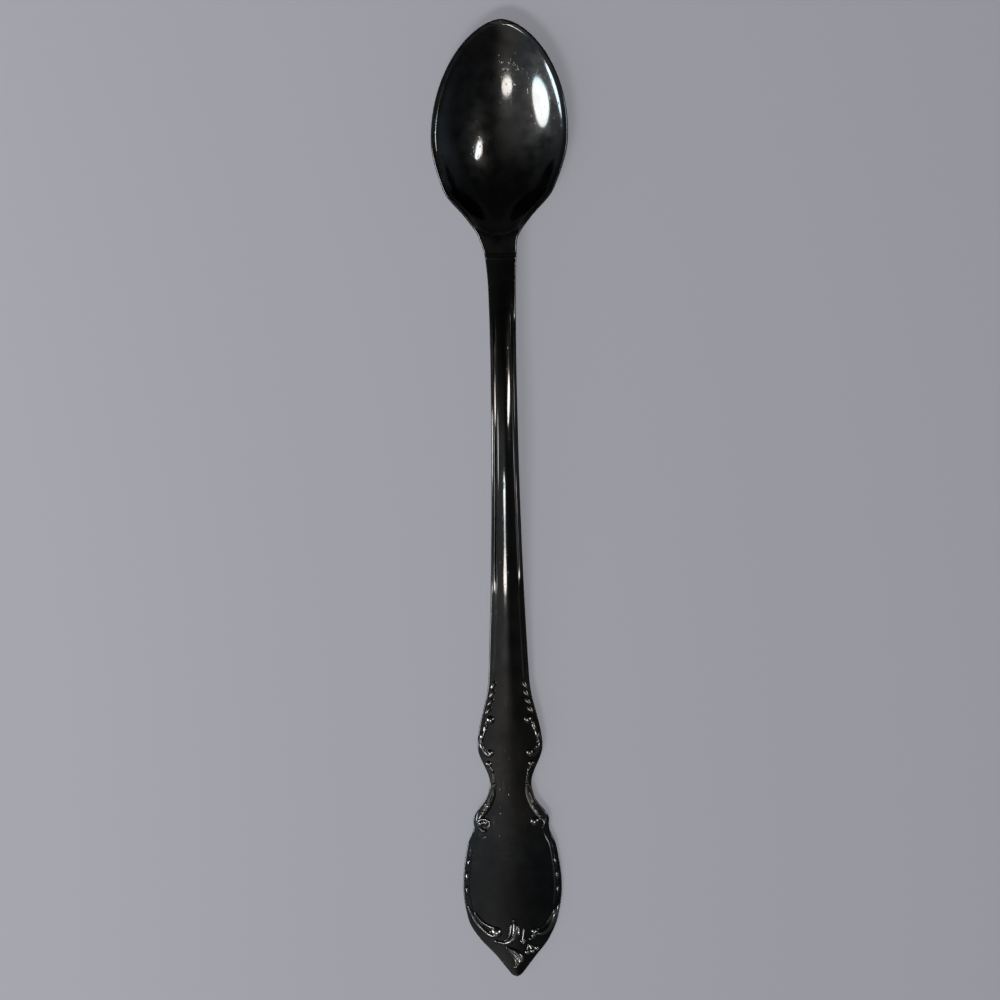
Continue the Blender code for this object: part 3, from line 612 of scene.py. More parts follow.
    def inset(self, station, x):
        """Distance in from the outline, square to it."""
        return (self.half_width(station) - np.abs(x)) / self.secant(station)

    def nose_share(self, share):
        """Half-width of the nose against the widest, from the bowl's tip at 0 to its widest place at 1."""
        return (1.0 - (1.0 - np.clip(share, 0.0, 1.0)) ** 2) ** self.profile.nose_sharpness

    def hollow_gauge(self, station, x):
        """0 at the deepest place of the bowl, 1 along the edge of its hollow and more outside it."""
        at = self.at
        land = self.profile.rim_land
        past_tip = station - land
        nose_inner = (self.widths.widest / 2 - land) * self.nose_share(past_tip / (at.widest - land))
        half = np.maximum(SAMPLE, self.half_width(station))
        heel_inner = half - land * self.secant(station)
        sideways = np.minimum(1.0, np.abs(x / half))
        heel_run = (at.hollow_end - at.deepest) * (1.0 - self.profile.heel_spread * sideways**2)
        along = (station - at.deepest) / np.where(station < at.deepest, at.deepest - land, heel_run)
        narrowest = 0.2 * MM
        inner = np.maximum(narrowest, np.where(station < at.widest, nose_inner, heel_inner))
        return along**2 + (x / inner) ** 2 * np.maximum(0.0, 1.0 - along**2)

    def lip_share(self, station, gauge):
        """Height of the ridge round the hollow's edge against its full height, which it has at the heel."""
        profile = self.profile
        heelward = ease((station - self.at.widest) / (self.at.hollow_end - self.at.widest))
        unworn = profile.lip_wear + (1.0 - profile.lip_wear) * heelward
        return unworn * np.exp(-(((gauge - 1.0) / profile.lip_breadth) ** 2))

    def edge_drop(self, station, inset):
        """How far the upper side falls at its outer edge, which is rounded."""
        rounding = self.edge_round(station)
        near = np.clip(1.0 - inset / rounding, 0.0, 1.0)
        return rounding * (1.0 - np.sqrt(1.0 - near**2))

    def crown_drop(self, station, x):
        """How far the upper side falls from the rounded ridge along its middle."""
        half = np.maximum(SAMPLE, self.half_width(np.maximum(station, self.at.widest)))
        soft = self.edge.ridge_softness
        share = (np.sqrt((x / half) ** 2 + soft**2) - soft) / (math.sqrt(1.0 + soft**2) - soft)
        return self.crown(station) * share

    def edge_lines(self, inset):
        """Relief, from 0 to 1, of the edge thread, its groove and the line round the panel's field."""
        edge = self.edge
        thread = line_relief(inset, edge.thread_inset, edge.thread_half_width)
        groove = line_relief(inset, edge.groove_inset, edge.groove_half_width)
        field_line = line_relief(inset, edge.field_inset, edge.field_half_width)
        return thread, groove, field_line

    def upper_height(self, station, x, inset):
        """Height of the spoon's upper side."""
        edge = self.edge
        profile = self.profile
        top = self.face_line(station) - self.crown_drop(station, x)
        thread, groove, field_line = self.edge_lines(inset)
        stem_lines = thread * edge.thread_height - groove * edge.groove_depth
        field_cut = field_line * edge.field_depth
        raised = self.thread_share(station) * stem_lines - self.field_share(station) * field_cut
        raised += line_relief(station, self.at.neck, profile.joint_half_width) * profile.joint_ridge
        gauge = self.hollow_gauge(station, x)
        fullness = profile.hollow_fullness
        climb = (1.0 - fullness) * gauge + fullness * gauge**2
        floor = profile.bowl_wall + (top - profile.bowl_wall) * climb
        sunk = profile.lip_softness * np.logaddexp(0.0, (top - floor) / profile.lip_softness)
        sunk -= profile.lip_ridge * self.lip_share(station, gauge)
        sunk = np.where(station < self.at.neck, sunk, 0.0)
        return top + raised - sunk - self.edge_drop(station, inset)

    def face_height(self, station, x):
        """Height of the handle's face at any place on it."""
        return self.upper_height(station, x, np.maximum(0.0, self.inset(station, x)))

    def edge_bottom(self, station):
        return self.face_line(station) - self.crown(station) - self.edge_height(station)

    def back_rise(self, station, share):
        """Rise of the underside, from 0 to 1, at a share of the half-width. It is bowed where not flat."""
        flatness = self.flatness(station)
        return (1.0 - flatness) * share**2 + flatness * share**8

    def back_height(self, station, share):
        """Height of the underside at a share of the half-width, worn flat where it meets the table."""
        keel = np.interp(station, *self.keel())
        rise = self.back_rise(station, share)
        return np.maximum(0.0, keel + (self.edge_bottom(station) - keel) * rise)

    def keel(self):
        """Height of the underside's middle line along the spoon."""
        at = self.at
        stations = np.linspace(0.0, at.point, KEEL_SAMPLES)
        handle = self.face_line(stations) - self.thickness(stations)
        heel = ease((stations - at.widest) / (at.neck - at.widest)) ** self.profile.heel_sweep
        bowl = handle * heel - self.profile.table_wear * (1.0 - heel)
        return stations, np.where(stations < at.neck, bowl, handle)

    def place(self, station, x, z):
        """Station, side and height as points of the model."""
        return np.stack((x + self.lean(station), self.at.point / 2 - station, z), axis=-1)

    def unplace(self, points):
        """Station and side of points of the model."""
        station = self.at.point / 2 - points[:, 1]
        return station, points[:, 0] - self.lean(station)

    def on_scarf(self, columns, slant, surface):
        """Points of a surface in columns that are slanted along the spoon, as the joint at the neck is."""
        station = columns[:, None]
        level = self.face_line(self.at.neck)
        for _ in range(SCARF_ROUNDS):
            x, z = surface(station)
            station = columns[:, None] + slant[:, None] * self.profile.scarf_slope * (z - level)
        return np.stack(np.broadcast_arrays(station, x, z), axis=-1)

    def face_rows(self, station):
        """x and height of the upper side's rows, from the middle to the edge, on the right half."""
        half = self.half_width(station)
        secant = self.secant(station)
        limit = np.minimum(1.0, WIDEST_BAND_SHARE * half / (BAND * secant))
        x = FACE_SHARES * (half - FACE_INSETS * limit * secant)
        return x, self.upper_height(station, x, (half - x) / secant)

    def edge_rows(self, station):
        top = self.face_line(station) - self.crown(station) - self.edge_round(station)
        return self.half_width(station), top + (self.edge_bottom(station) - top) * EDGE_SHARES

    def back_rows(self, station):
        return self.half_width(station) * BACK_SHARES, self.back_height(station, BACK_SHARES)

    def half_sections(self, columns, slant):
        """The right half of the spoon's sections, from the middle of the face round to that of the back."""
        surfaces = (self.face_rows, self.edge_rows, self.back_rows)
        return np.concatenate([self.on_scarf(columns, slant, surface) for surface in surfaces], axis=1)

    def nose_sections(self, angles):
        """Sections of the bowl's nose, which fan out from the middle of its widest place."""
        centre = np.array((self.at.widest, 0.0))
        reach = self.nose_share(1.0 - np.sin(angles)) * np.sign(np.cos(angles))
        lengthwise = self.at.widest * (1.0 - np.sin(angles))
        outline = np.stack((lengthwise, self.widths.widest / 2 * reach), axis=-1)
        along = np.gradient(outline, axis=0)
        along[0] = (-1.0, 0.0)
        along[-1] = (1.0, 0.0)
        along /= np.linalg.norm(along, axis=1)[:, None]
        inward = np.stack((along[:, 1], -along[:, 0]), axis=-1)
        inward *= -np.sign(np.sum(inward * (outline - centre), axis=1))[:, None]
        rim = outline[:, None]
        face = centre + FACE_SHARES[:, None] * (rim + FACE_INSETS[:, None] * inward[:, None] - centre)
        station, x = np.moveaxis(face, -1, 0)
        upper = np.stack((station, x, self.upper_height(station, x, FACE_INSETS)), axis=-1)
        rim_station = outline[:, :1]
        top = self.face_line(rim_station) - self.edge_round(rim_station)
        low = self.edge_bottom(rim_station)
        wall_height = top + (low - top) * EDGE_SHARES
        wall = np.concatenate((np.repeat(rim, EDGE_ROWS, axis=1), wall_height[..., None]), axis=-1)
        under = centre + BACK_SHARES[:, None] * (rim - centre)
        wear = self.profile.table_wear
        under_height = np.maximum(0.0, (low + wear) * self.back_rise(self.at.widest, BACK_SHARES) - wear)
        back = np.concatenate((under, under_height[..., None]), axis=-1)
        return np.concatenate((upper, wall, back), axis=1)


def closed(mesh):
    """The mesh with its seams and poles closed, faces turned outwards and smooth shading."""
    shell = bmesh.new()
    shell.from_mesh(mesh)
    bmesh.ops.remove_doubles(shell, verts=shell.verts, dist=MERGE)
    bmesh.ops.dissolve_degenerate(shell, edges=shell.edges, dist=SLIVER)
    bmesh.ops.recalc_face_normals(shell, faces=shell.faces)
    shell.to_mesh(mesh)
    shell.free()
    mesh.shade_smooth()
    mesh.set_sharp_from_angle(angle=SHARP)
    return mesh


def mesh_from(points, faces, name):
    mesh = bpy.data.meshes.new(name)
    mesh.from_pydata(points.reshape(-1, 3).tolist(), [], faces)
    return closed(mesh)


def grid_faces(columns, rows):
    """Quads of a grid of points that are listed column by column."""
    corner = np.arange((columns - 1) * rows).reshape(columns - 1, rows)[:, :-1].ravel()
    return np.stack((corner, corner + 1, corner + rows + 1, corner + rows), axis=-1).tolist()


def highest_round(marks, station, x):
    """The greatest height of rounds that lie on a face, each with a middle, a half-width and a height."""
    height = np.full(station.shape, BELOW_ALL)
    for along, aside, half, rise in marks:
        away = ((station - along) ** 2 + (x - aside) ** 2) / half**2
        np.maximum(height, rise * (1.0 - away), out=height)
    return height


class Carving:
    """Relief drawn from a landmark on the handle's middle line, in millimetres.

    Each point of a stroke has a distance along, a distance aside, a half-width and a height.
    """

    def __init__(self, landmark):
        self.landmark = landmark
        self.boldness = bpy.context.scene.spoon_ornament.boldness
        self.raised = []
        self.cuts = []

    def marks(self, points):
        """Closely spaced rounds along a smooth stroke."""
        rows = stroke(points, MARK_SPACING) if len(points) > 1 else np.array(points, float)
        return rows * (MM, MM, self.boldness * MM, MM) + (self.landmark, 0.0, 0.0, 0.0)

    def band(self, *points):
        self.raised.append(self.marks(points))

    def dome(self, along, aside, radius, height):
        self.raised.append(self.marks([(along, aside, radius, height)]))

    def cut(self, *points):
        self.cuts.append(self.marks(points))

    def height(self, station, x, blend):
        """Height of the relief. Strokes that meet are rounded into each other."""
        raised = [highest_round(marks, station, x) / blend for marks in self.raised]
        height = blend * np.logaddexp.reduce(np.stack(raised))
        for marks in self.cuts:
            height -= np.maximum(0.0, highest_round(marks, station, x))
        return height


def joined(cells):
    """The same cells of a grid, with one more wherever two touch only at a corner."""
    cells = cells.copy()
    for _ in range(JOIN_ROUNDS):
        falling = cells[:-1, :-1] & cells[1:, 1:] & ~cells[1:, :-1] & ~cells[:-1, 1:]
        rising = cells[1:, :-1] & cells[:-1, 1:] & ~cells[:-1, :-1] & ~cells[1:, 1:]
        cells[1:, :-1] |= falling
        cells[:-1, :-1] |= rising
    return cells


def slab(top, base, cells, name):
    """A closed mesh over the chosen cells of a grid, between two layers, with walls round their border."""
    rows, columns = np.nonzero(cells)
    width = top.shape[1]
    corner = rows * width + columns
    quads = np.stack((corner, corner + 1, corner + width + 1, corner + width), axis=-1)
    count = top.shape[0] * width
    ends = np.roll(quads, -1, axis=1)
    border = ~np.isin(quads * count + ends, ends * count + quads)
    walls = np.stack((ends[border], quads[border], quads[border] + count, ends[border] + count), axis=-1)
    faces = np.concatenate((quads, quads[:, ::-1] + count, walls))
    used, faces = np.unique(faces, return_inverse=True)
    points = np.concatenate((top.reshape(-1, 3), base.reshape(-1, 3)))[used]
    return mesh_from(points, faces.reshape(-1, 4).tolist(), name)


def relief_mesh(shape, side, carving, name):
    """What a carving raises above the handle's face, with its foot let into the face."""
    ornament = bpy.context.scene.spoon_ornament
    marks = np.concatenate(carving.raised)
    low = (marks[:, :2] - marks[:, 2:3]).min(axis=0)
    high = (marks[:, :2] + marks[:, 2:3]).max(axis=0)
    lines = [np.arange(start, end + CELL, CELL) for start, end in zip(low, high)]
    station, x = np.meshgrid(*lines, indexing="ij")
    steepest = OUTLINE_SLOPE * (shape.inset(station, x) - OUTLINE_MARGIN)
    rise = carving.height(station, x, ornament.blend) * ornament.relief
    rise = np.maximum(-FOOT, np.minimum(rise, steepest))
    kept = rise > -KEPT_FOOT
    cells = joined(kept[:-1, :-1] & kept[1:, :-1] & kept[:-1, 1:] & kept[1:, 1:])
    face = shape.face_height(station, x)
    top = shape.place(station, side * x, face + rise)
    base = shape.place(station, side * x, face - ROOT)
    return slab(top, base, cells, name)


def add_piece(name, mesh, material):
    """A finished piece at the origin that rides on the spoon and stands for the node of its name."""
    mesh.materials.clear()
    mesh.materials.append(material)
    piece = bpy.data.objects.new(f"{name}_finish", mesh)
    bpy.context.scene.collection.objects.link(piece)
    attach(piece, "root")
    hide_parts(name)


def set_inputs(tree, node, **inputs):
    """Give a node's inputs values or links. Underscores stand for spaces, or a first one for a number."""
    for name, value in inputs.items():
        socket = node.inputs[int(name[1:])] if name[0] == "_" else node.inputs[name.replace("_", " ")]
        if isinstance(value, bpy.types.NodeSocket):
            tree.links.new(value, socket)
        else:
            socket.default_value = value


def add_node(tree, kind, settings=None, **inputs):
    node = tree.nodes.new(kind)
    for name, value in (settings or {}).items():
        setattr(node, name, value)
    set_inputs(tree, node, **inputs)
    return node


def geometry_tree(name, inputs):
    """An empty geometry tree with named inputs for its sizes. Returns it and its inputs' sockets."""
    tree = bpy.data.node_groups.new(name, "GeometryNodeTree")
    tree.interface.new_socket("Geometry", in_out="INPUT", socket_type="NodeSocketGeometry")
    for label, kind in inputs.items():
        tree.interface.new_socket(label, in_out="INPUT", socket_type=f"NodeSocket{kind}")
    tree.interface.new_socket("Geometry", in_out="OUTPUT", socket_type="NodeSocketGeometry")
    return tree, tree.nodes.new("NodeGroupInput").outputs


def end_tree(tree, geometry, material):
    """Turn all instances into plain mesh, give it its material and lead it out of the tree."""
    real = add_node(tree, "GeometryNodeRealizeInstances", Geometry=geometry)
    dressed = add_node(tree, "GeometryNodeSetMaterial", Geometry=real.outputs[0], Material=material)
    add_node(tree, "NodeGroupOutput", Geometry=dressed.outputs[0])
    return tree


def grow(name, paths, tree, sizes):
    """Run a geometry tree along paths of points, and keep what it makes as a plain closed mesh."""
    guide = bpy.data.meshes.new(name)
    firsts = np.cumsum([0] + [len(path) for path in paths])
    edges = [(i, i + 1) for a, b in zip(firsts, firsts[1:]) for i in range(a, b - 1)]
    guide.from_pydata(np.concatenate(paths).tolist(), edges, [])
    sprout = bpy.data.objects.new(name, guide)
    bpy.context.scene.collection.objects.link(sprout)
    modifier = sprout.modifiers.new(name, "NODES")
    modifier.node_group = tree
    for socket in tree.interface.items_tree:
        if socket.in_out == "INPUT" and socket.name in sizes:
            modifier[socket.identifier] = sizes[socket.name]
    depsgraph = bpy.context.evaluated_depsgraph_get()
    grown = bpy.data.meshes.new_from_object(sprout.evaluated_get(depsgraph))
    bpy.data.objects.remove(sprout)
    bpy.data.meshes.remove(guide)
    return closed(grown)


def noise(tree, place, scale, detail, stretch=(1.0, 1.0, 1.0)):
    """Cloudy grey pattern with its grain stretched along the axes. Returns the socket of its value."""
    mapping = add_node(tree, "ShaderNodeMapping", Vector=place, Scale=stretch)
    pattern = add_node(tree, "ShaderNodeTexNoise", Vector=mapping.outputs[0], Scale=scale, Detail=detail)
    return pattern.outputs[0]


def remap(tree, value, low, high, to_low, to_high, ends="LINEAR"):
    node = add_node(
        tree,
        "ShaderNodeMapRange",
        {"interpolation_type": ends},
        Value=value,
        From_Min=low,
        From_Max=high,
        To_Min=to_low,
        To_Max=to_high,
    )
    return node.outputs[0]


def fade(tree, value, low, high, to_low, to_high):
    """Like remap, with soft ends."""
    return remap(tree, value, low, high, to_low, to_high, "SMOOTHSTEP")


def mix_colour(tree, factor, first, second):
    mix = add_node(tree, "ShaderNodeMix", {"data_type": "RGBA"}, _0=factor, _6=first, _7=second)
    return mix.outputs[2]


def math_node(tree, operation, first, second):
    return add_node(tree, "ShaderNodeMath", {"operation": operation}, _0=first, _1=second).outputs[0]


def metal_tones(tree, place, finish):
    """Reflection that drifts between cool and warm, warmer down the middle, under cloudy dark smudges."""
    aside = add_node(tree, "ShaderNodeSeparateXYZ", Vector=place).outputs["X"]
    aside = math_node(tree, "ABSOLUTE", aside, 0.0)
    middle = fade(tree, aside, 1.0 * MM, 6.0 * MM, 0.35, -0.35)
    clouds = noise(tree, place, scale=150.0, detail=4.0, stretch=(1.0, 0.6, 1.0))
    drift = math_node(tree, "ADD", remap(tree, clouds, 0.35, 0.65, 0.0, 1.0), middle)
    drift.node.use_clamp = True
    colour = mix_colour(tree, drift, (*finish.cool, 1.0), (*finish.warm, 1.0))
    clouds = noise(tree, place, scale=260.0, detail=5.0, stretch=(1.0, 0.7, 1.0))
    smudges = remap(tree, clouds, 0.42, 0.66, 0.0, finish.smudge)
    return mix_colour(tree, smudges, colour, (*finish.recess, 1.0))


def fine_scuffs(tree, place):
    """Hairlines along the spoon, and fewer across it."""
    lengthwise = noise(tree, place, scale=2600.0, detail=2.0, stretch=(1.0, 0.06, 1.0))
    crosswise = noise(tree, place, scale=2300.0, detail=2.0, stretch=(0.08, 1.0, 1.0))
    scratches = remap(tree, lengthwise, 0.62, 0.72, 0.0, 1.0)
    crossing = remap(tree, crosswise, 0.65, 0.74, 0.0, 1.0)
    return math_node(tree, "MAXIMUM", scratches, crossing)


def scuffed_normal(tree, place, scuffs, strength):
    """Slow waves of the polish with fine pits in them, deepest in the most used patch of the bowl."""
    swell = noise(tree, place, scale=420.0, detail=2.0)
    waves = add_node(tree, "ShaderNodeBump", Strength=0.15, Distance=0.02 * MM, Height=swell)
    away = add_node(tree, "ShaderNodeVectorMath", {"operation": "DISTANCE"}, _0=place, _1=USED_SPOT)
    used = fade(tree, away.outputs["Value"], USED_CORE, USED_REACH, 1.0, 0.0)
    grain = noise(tree, place, scale=2100.0, detail=2.0, stretch=(1.0, 0.45, 1.0))
    grain = math_node(tree, "ADD", grain, math_node(tree, "MULTIPLY", used, 0.1))
    pits = remap(tree, grain, 0.67, 0.75, 0.0, 1.0)
    pits = math_node(tree, "MULTIPLY", pits, math_node(tree, "ADD", used, 1.0))
    marks = math_node(tree, "ADD", pits, math_node(tree, "MULTIPLY", scuffs, 0.1))
    bump = add_node(tree, "ShaderNodeBump", Strength=strength, Distance=0.012 * MM, Height=marks)
    set_inputs(tree, bump, Normal=waves.outputs[0])
    return bump.outputs[0]


def dark_polish(name, dullness, haze):
    """Near-black polished plate, made once: dark recesses, rubbed ridges, scuffs and a thin film. On the
    bowl's lip and the neck's joint the lighter ridges are partly a painted highlight.
    """
    found = bpy.data.materials.get(name)
    if found:
        return found
    finish = bpy.context.scene.spoon_finish
    material = bpy.data.materials.new(name)
    material.use_nodes = True
    tree = material.node_tree
    place = tree.nodes.new("ShaderNodeTexCoord").outputs["Object"]
    relief = add_node(tree, "ShaderNodeAttribute", {"attribute_name": "relief"}).outputs["Fac"]
    rubbing = remap(tree, noise(tree, place, scale=1500.0, detail=4.0), 0.3, 0.7, 0.35, 1.0)
    ridge = math_node(tree, "MULTIPLY", remap(tree, relief, 0.35, 0.95, 0.0, 0.85), rubbing)
    sunk = remap(tree, relief, -0.7, 0.0, 0.9, 0.0)
    colour = mix_colour(tree, ridge, metal_tones(tree, place, finish), (*finish.rubbed, 1.0))
    colour = mix_colour(tree, sunk, colour, (*finish.recess, 1.0))
    smears = noise(tree, place, scale=240.0, detail=5.0, stretch=(1.0, 0.4, 1.0))
    smears = remap(tree, smears, 0.35, 0.75, 0.0, finish.dulling)
    scuffs = fine_scuffs(tree, place)
    rough = math_node(tree, "ADD", smears, math_node(tree, "MULTIPLY", scuffs, 0.05))
    rough = math_node(tree, "ADD", rough, math_node(tree, "MULTIPLY", sunk, 0.25))
    film = noise(tree, place, scale=480.0, detail=6.0)
    set_inputs(
        tree,
        tree.nodes["Principled BSDF"],
        Base_Color=colour,
        Metallic=1.0,
        Roughness=math_node(tree, "ADD", rough, finish.polish + dullness),
        Normal=scuffed_normal(tree, place, scuffs, finish.scuff),
        Coat_Weight=remap(tree, film, 0.35, 0.65, 0.4 * haze, 1.6 * haze),
        Coat_Roughness=finish.haze_spread,
        Specular_Tint=(*finish.grazing, 1.0),
    )
    return material


def bowl_metal():
    return dark_polish("bowl_polish", 0.0, bpy.context.scene.spoon_finish.haze)


def handle_metal():
    return dark_polish("handle_polish", 0.0, bpy.context.scene.spoon_finish.handle_haze)


def ornament_metal():
    finish = bpy.context.scene.spoon_finish
    return dark_polish("ornament_polish", finish.ornament_dulling, finish.handle_haze)


def set_relief(mesh, values):
    """How far each point stands out, from -1 in a groove to 1 on a ridge, for the finish to read."""
    layer = mesh.attributes.new("relief", "FLOAT", "POINT")
    layer.data.foreach_set("value", np.asarray(values, np.float32))


def points_of(mesh):
    flat = np.empty(len(mesh.vertices) * 3)
    mesh.vertices.foreach_get("co", flat)
    return flat.reshape(-1, 3)


def add_ornament(name, mesh, shape, rubbing=1.0):
    """A raised ornament that keeps its height above the face, up to the rubbing, for the finish to read. A
    rubbing under 1 keeps its ridges darker, as painted shade.
    """
    points = points_of(mesh)
    station, x = shape.unplace(points)
    rise = (points[:, 2] - shape.face_height(station, x)) / RUBBED_HEIGHT
    # Ridges lighten with their height, up to the rubbing; a rubbing under 1 keeps them darker, as painted
    # shade on that side
    set_relief(mesh, np.clip((1.0 + FOOT_STAIN) * rise - FOOT_STAIN, -1.0, rubbing))
    add_piece(name, mesh, ornament_metal())


def add_carving(name, carving, shape, side=1, rubbing=1.0):
    add_ornament(name, relief_mesh(shape, side, carving, name), shape, rubbing)


def edge_path(shape, side, start, end, inset):
    """Points on the handle's face along its outline, a distance in from it."""
    station = np.linspace(start, end, PATH_POINTS)
    x = side * (shape.half_width(station) - inset * shape.secant(station))
    return shape.place(station, x, shape.face_height(station, x))


def husk_tree(material):
    """Tapered husks along a path, each turned a little out of its line."""
    sizes = {"Husks": "Int", "Length": "Float", "Half Width": "Float", "Height": "Float", "Turn": "Float"}
    tree, given = geometry_tree("husks", sizes)
    path = add_node(tree, "GeometryNodeMeshToCurve", Mesh=given["Geometry"])
    spots = add_node(tree, "GeometryNodeCurveToPoints", Curve=path.outputs[0], Count=given["Husks"])
    ball = add_node(tree, "GeometryNodeMeshUVSphere", Segments=BALL_SEGMENTS, Rings=BALL_RINGS, Radius=1.0)
    position = tree.nodes.new("GeometryNodeInputPosition").outputs[0]
    along, across, up = add_node(tree, "ShaderNodeSeparateXYZ", Vector=position).outputs
    slimness = math_node(tree, "MULTIPLY", along, -HUSK_TAPER)
    slimness = math_node(tree, "ADD", slimness, 1.0 - HUSK_TAPER)
    slim = math_node(tree, "MULTIPLY", across, slimness)
    drop = add_node(tree, "ShaderNodeCombineXYZ", X=along, Y=slim, Z=up)
    husk = add_node(tree, "GeometryNodeSetPosition", Geometry=ball.outputs[0], Position=drop.outputs[0])
    align = "FunctionNodeAlignRotationToVector"
    lengthwise = add_node(tree, align, {"axis": "X"}, Vector=spots.outputs["Tangent"])
    upright = {"axis": "Z", "pivot_axis": "X"}
    upright = add_node(tree, align, upright, Rotation=lengthwise.outputs[0], Vector=(0.0, 0.0, 1.0))
    swing = add_node(tree, "ShaderNodeCombineXYZ", Z=given["Turn"])
    swing = add_node(tree, "FunctionNodeEulerToRotation", Euler=swing.outputs[0])
    turned = add_node(tree, "FunctionNodeRotateRotation", {"rotation_space": "LOCAL"})
    set_inputs(tree, turned, Rotation=upright.outputs[0], Rotate_By=swing.outputs[0])
    half_length = math_node(tree, "MULTIPLY", given["Length"], 0.5)
    scale = add_node(tree, "ShaderNodeCombineXYZ", X=half_length)
    set_inputs(tree, scale, Y=given["Half Width"], Z=given["Height"])
    husks = add_node(
        tree,
        "GeometryNodeInstanceOnPoints",
        Points=spots.outputs["Points"],
        Instance=husk.outputs[0],
        Rotation=turned.outputs[0],
        Scale=scale.outputs[0],
    )
    return end_tree(tree, husks.outputs[0], material)


def border_tree(material):
    """A thin border along a path, with beads that grow smaller and die away towards its far end."""
    sizes = {"Half Width": "Float", "Beads": "Float", "Thinness": "Float"}
    tree, given = geometry_tree("panel_border", sizes)
    path = add_node(tree, "GeometryNodeMeshToCurve", Mesh=given["Geometry"])
    fine = add_node(tree, "GeometryNodeResampleCurve", Curve=path.outputs[0], Count=BORDER_POINTS)
    share = tree.nodes.new("GeometryNodeSplineParameter").outputs["Factor"]
    middling = math_node(tree, "MULTIPLY", share, math_node(tree, "SUBTRACT", 1.0, share))
    ends = math_node(tree, "POWER", math_node(tree, "MULTIPLY", middling, 4.0), 0.25)
    turns = math_node(tree, "MULTIPLY", math_node(tree, "MULTIPLY", share, given["Beads"]), math.pi)
    bead = math_node(tree, "POWER", math_node(tree, "SINE", turns, 0.0), 2.0)
    bead = math_node(tree, "MULTIPLY", bead, remap(tree, share, 0.45, 0.85, 1.0, 0.0))
    width = math_node(tree, "ADD", given["Thinness"], bead)
    width = math_node(tree, "MINIMUM", width, 1.0)
    width = math_node(tree, "MULTIPLY", math_node(tree, "MULTIPLY", width, given["Half Width"]), ends)
    wire = add_node(tree, "GeometryNodeCurvePrimitiveCircle", Resolution=WIRE_POINTS, Radius=1.0)
    border = add_node(
        tree, "GeometryNodeCurveToMesh", Curve=fine.outputs[0], Profile_Curve=wire.outputs[0], Scale=width
    )
    return end_tree(tree, border.outputs[0], material)


def bead_tree(material):
    """A thin rib along each path, with a bead on its far end."""
    tree, given = geometry_tree("tip_beads", {"Rib Half Width": "Float", "Bead Half Width": "Float"})
    path = add_node(tree, "GeometryNodeMeshToCurve", Mesh=given["Geometry"])
    wire = add_node(tree, "GeometryNodeCurvePrimitiveCircle", Resolution=WIRE_POINTS, Radius=1.0)
    ribs = add_node(
        tree,
        "GeometryNodeCurveToMesh",
        Curve=path.outputs[0],
        Profile_Curve=wire.outputs[0],
        Scale=given["Rib Half Width"],
        Fill_Caps=True,
    )
    far_end = add_node(tree, "GeometryNodeCurveEndpointSelection", Start_Size=0, End_Size=1)
    ball = add_node(tree, "GeometryNodeMeshUVSphere", Segments=BALL_SEGMENTS, Rings=BALL_RINGS)
    set_inputs(tree, ball, Radius=given["Bead Half Width"])
    beads = add_node(
        tree,
        "GeometryNodeInstanceOnPoints",
        Points=path.outputs[0],
        Selection=far_end.outputs[0],
        Instance=ball.outputs[0],
    )
    both = add_node(tree, "GeometryNodeJoinGeometry", Geometry=ribs.outputs[0])
    tree.links.new(beads.outputs[0], both.inputs[0])
    return end_tree(tree, both.outputs[0], material)


class SPOON_OT_bowl(bpy.types.Operator):
    """Make the bowl: a hollow, a flat rim and a rounded underside, cut to a slant at the neck"""

    bl_idname = "spoon.bowl"
    bl_label = "Bowl"

    def execute(self, context):
        shape = SpoonShape(context.scene)
        heel = np.linspace(shape.at.neck, shape.at.widest, HEEL_COLUMNS)
        slant = ease((heel - shape.at.widest) / (shape.at.neck - shape.at.widest))
        right = shape.half_sections(heel, slant)
        nose = shape.nose_sections(np.linspace(0.0, math.pi, NOSE_COLUMNS))[1:-1]
        columns = np.concatenate((right, nose, right[::-1] * MIRRORED))
        count, rows = columns.shape[:2]
        faces = grid_faces(count, rows)
        last = (count - 1) * rows
        faces.append([*range(rows), *range(last + rows - 1, last - 1, -1)])
        mesh = mesh_from(shape.place(*np.moveaxis(columns, -1, 0)), faces, "bowl_finish")
        points = points_of(mesh)
        station, x = shape.unplace(points)
        upper = points[:, 2] > shape.edge_bottom(station)
        # The ridge round the hollow's edge is drawn lighter: partly rubbed metal, partly a painted
        # highlight along the lip
        set_relief(mesh, upper * shape.lip_share(station, shape.hollow_gauge(station, x)))
        add_piece("bowl", mesh, bowl_metal())
        return {"FINISHED"}


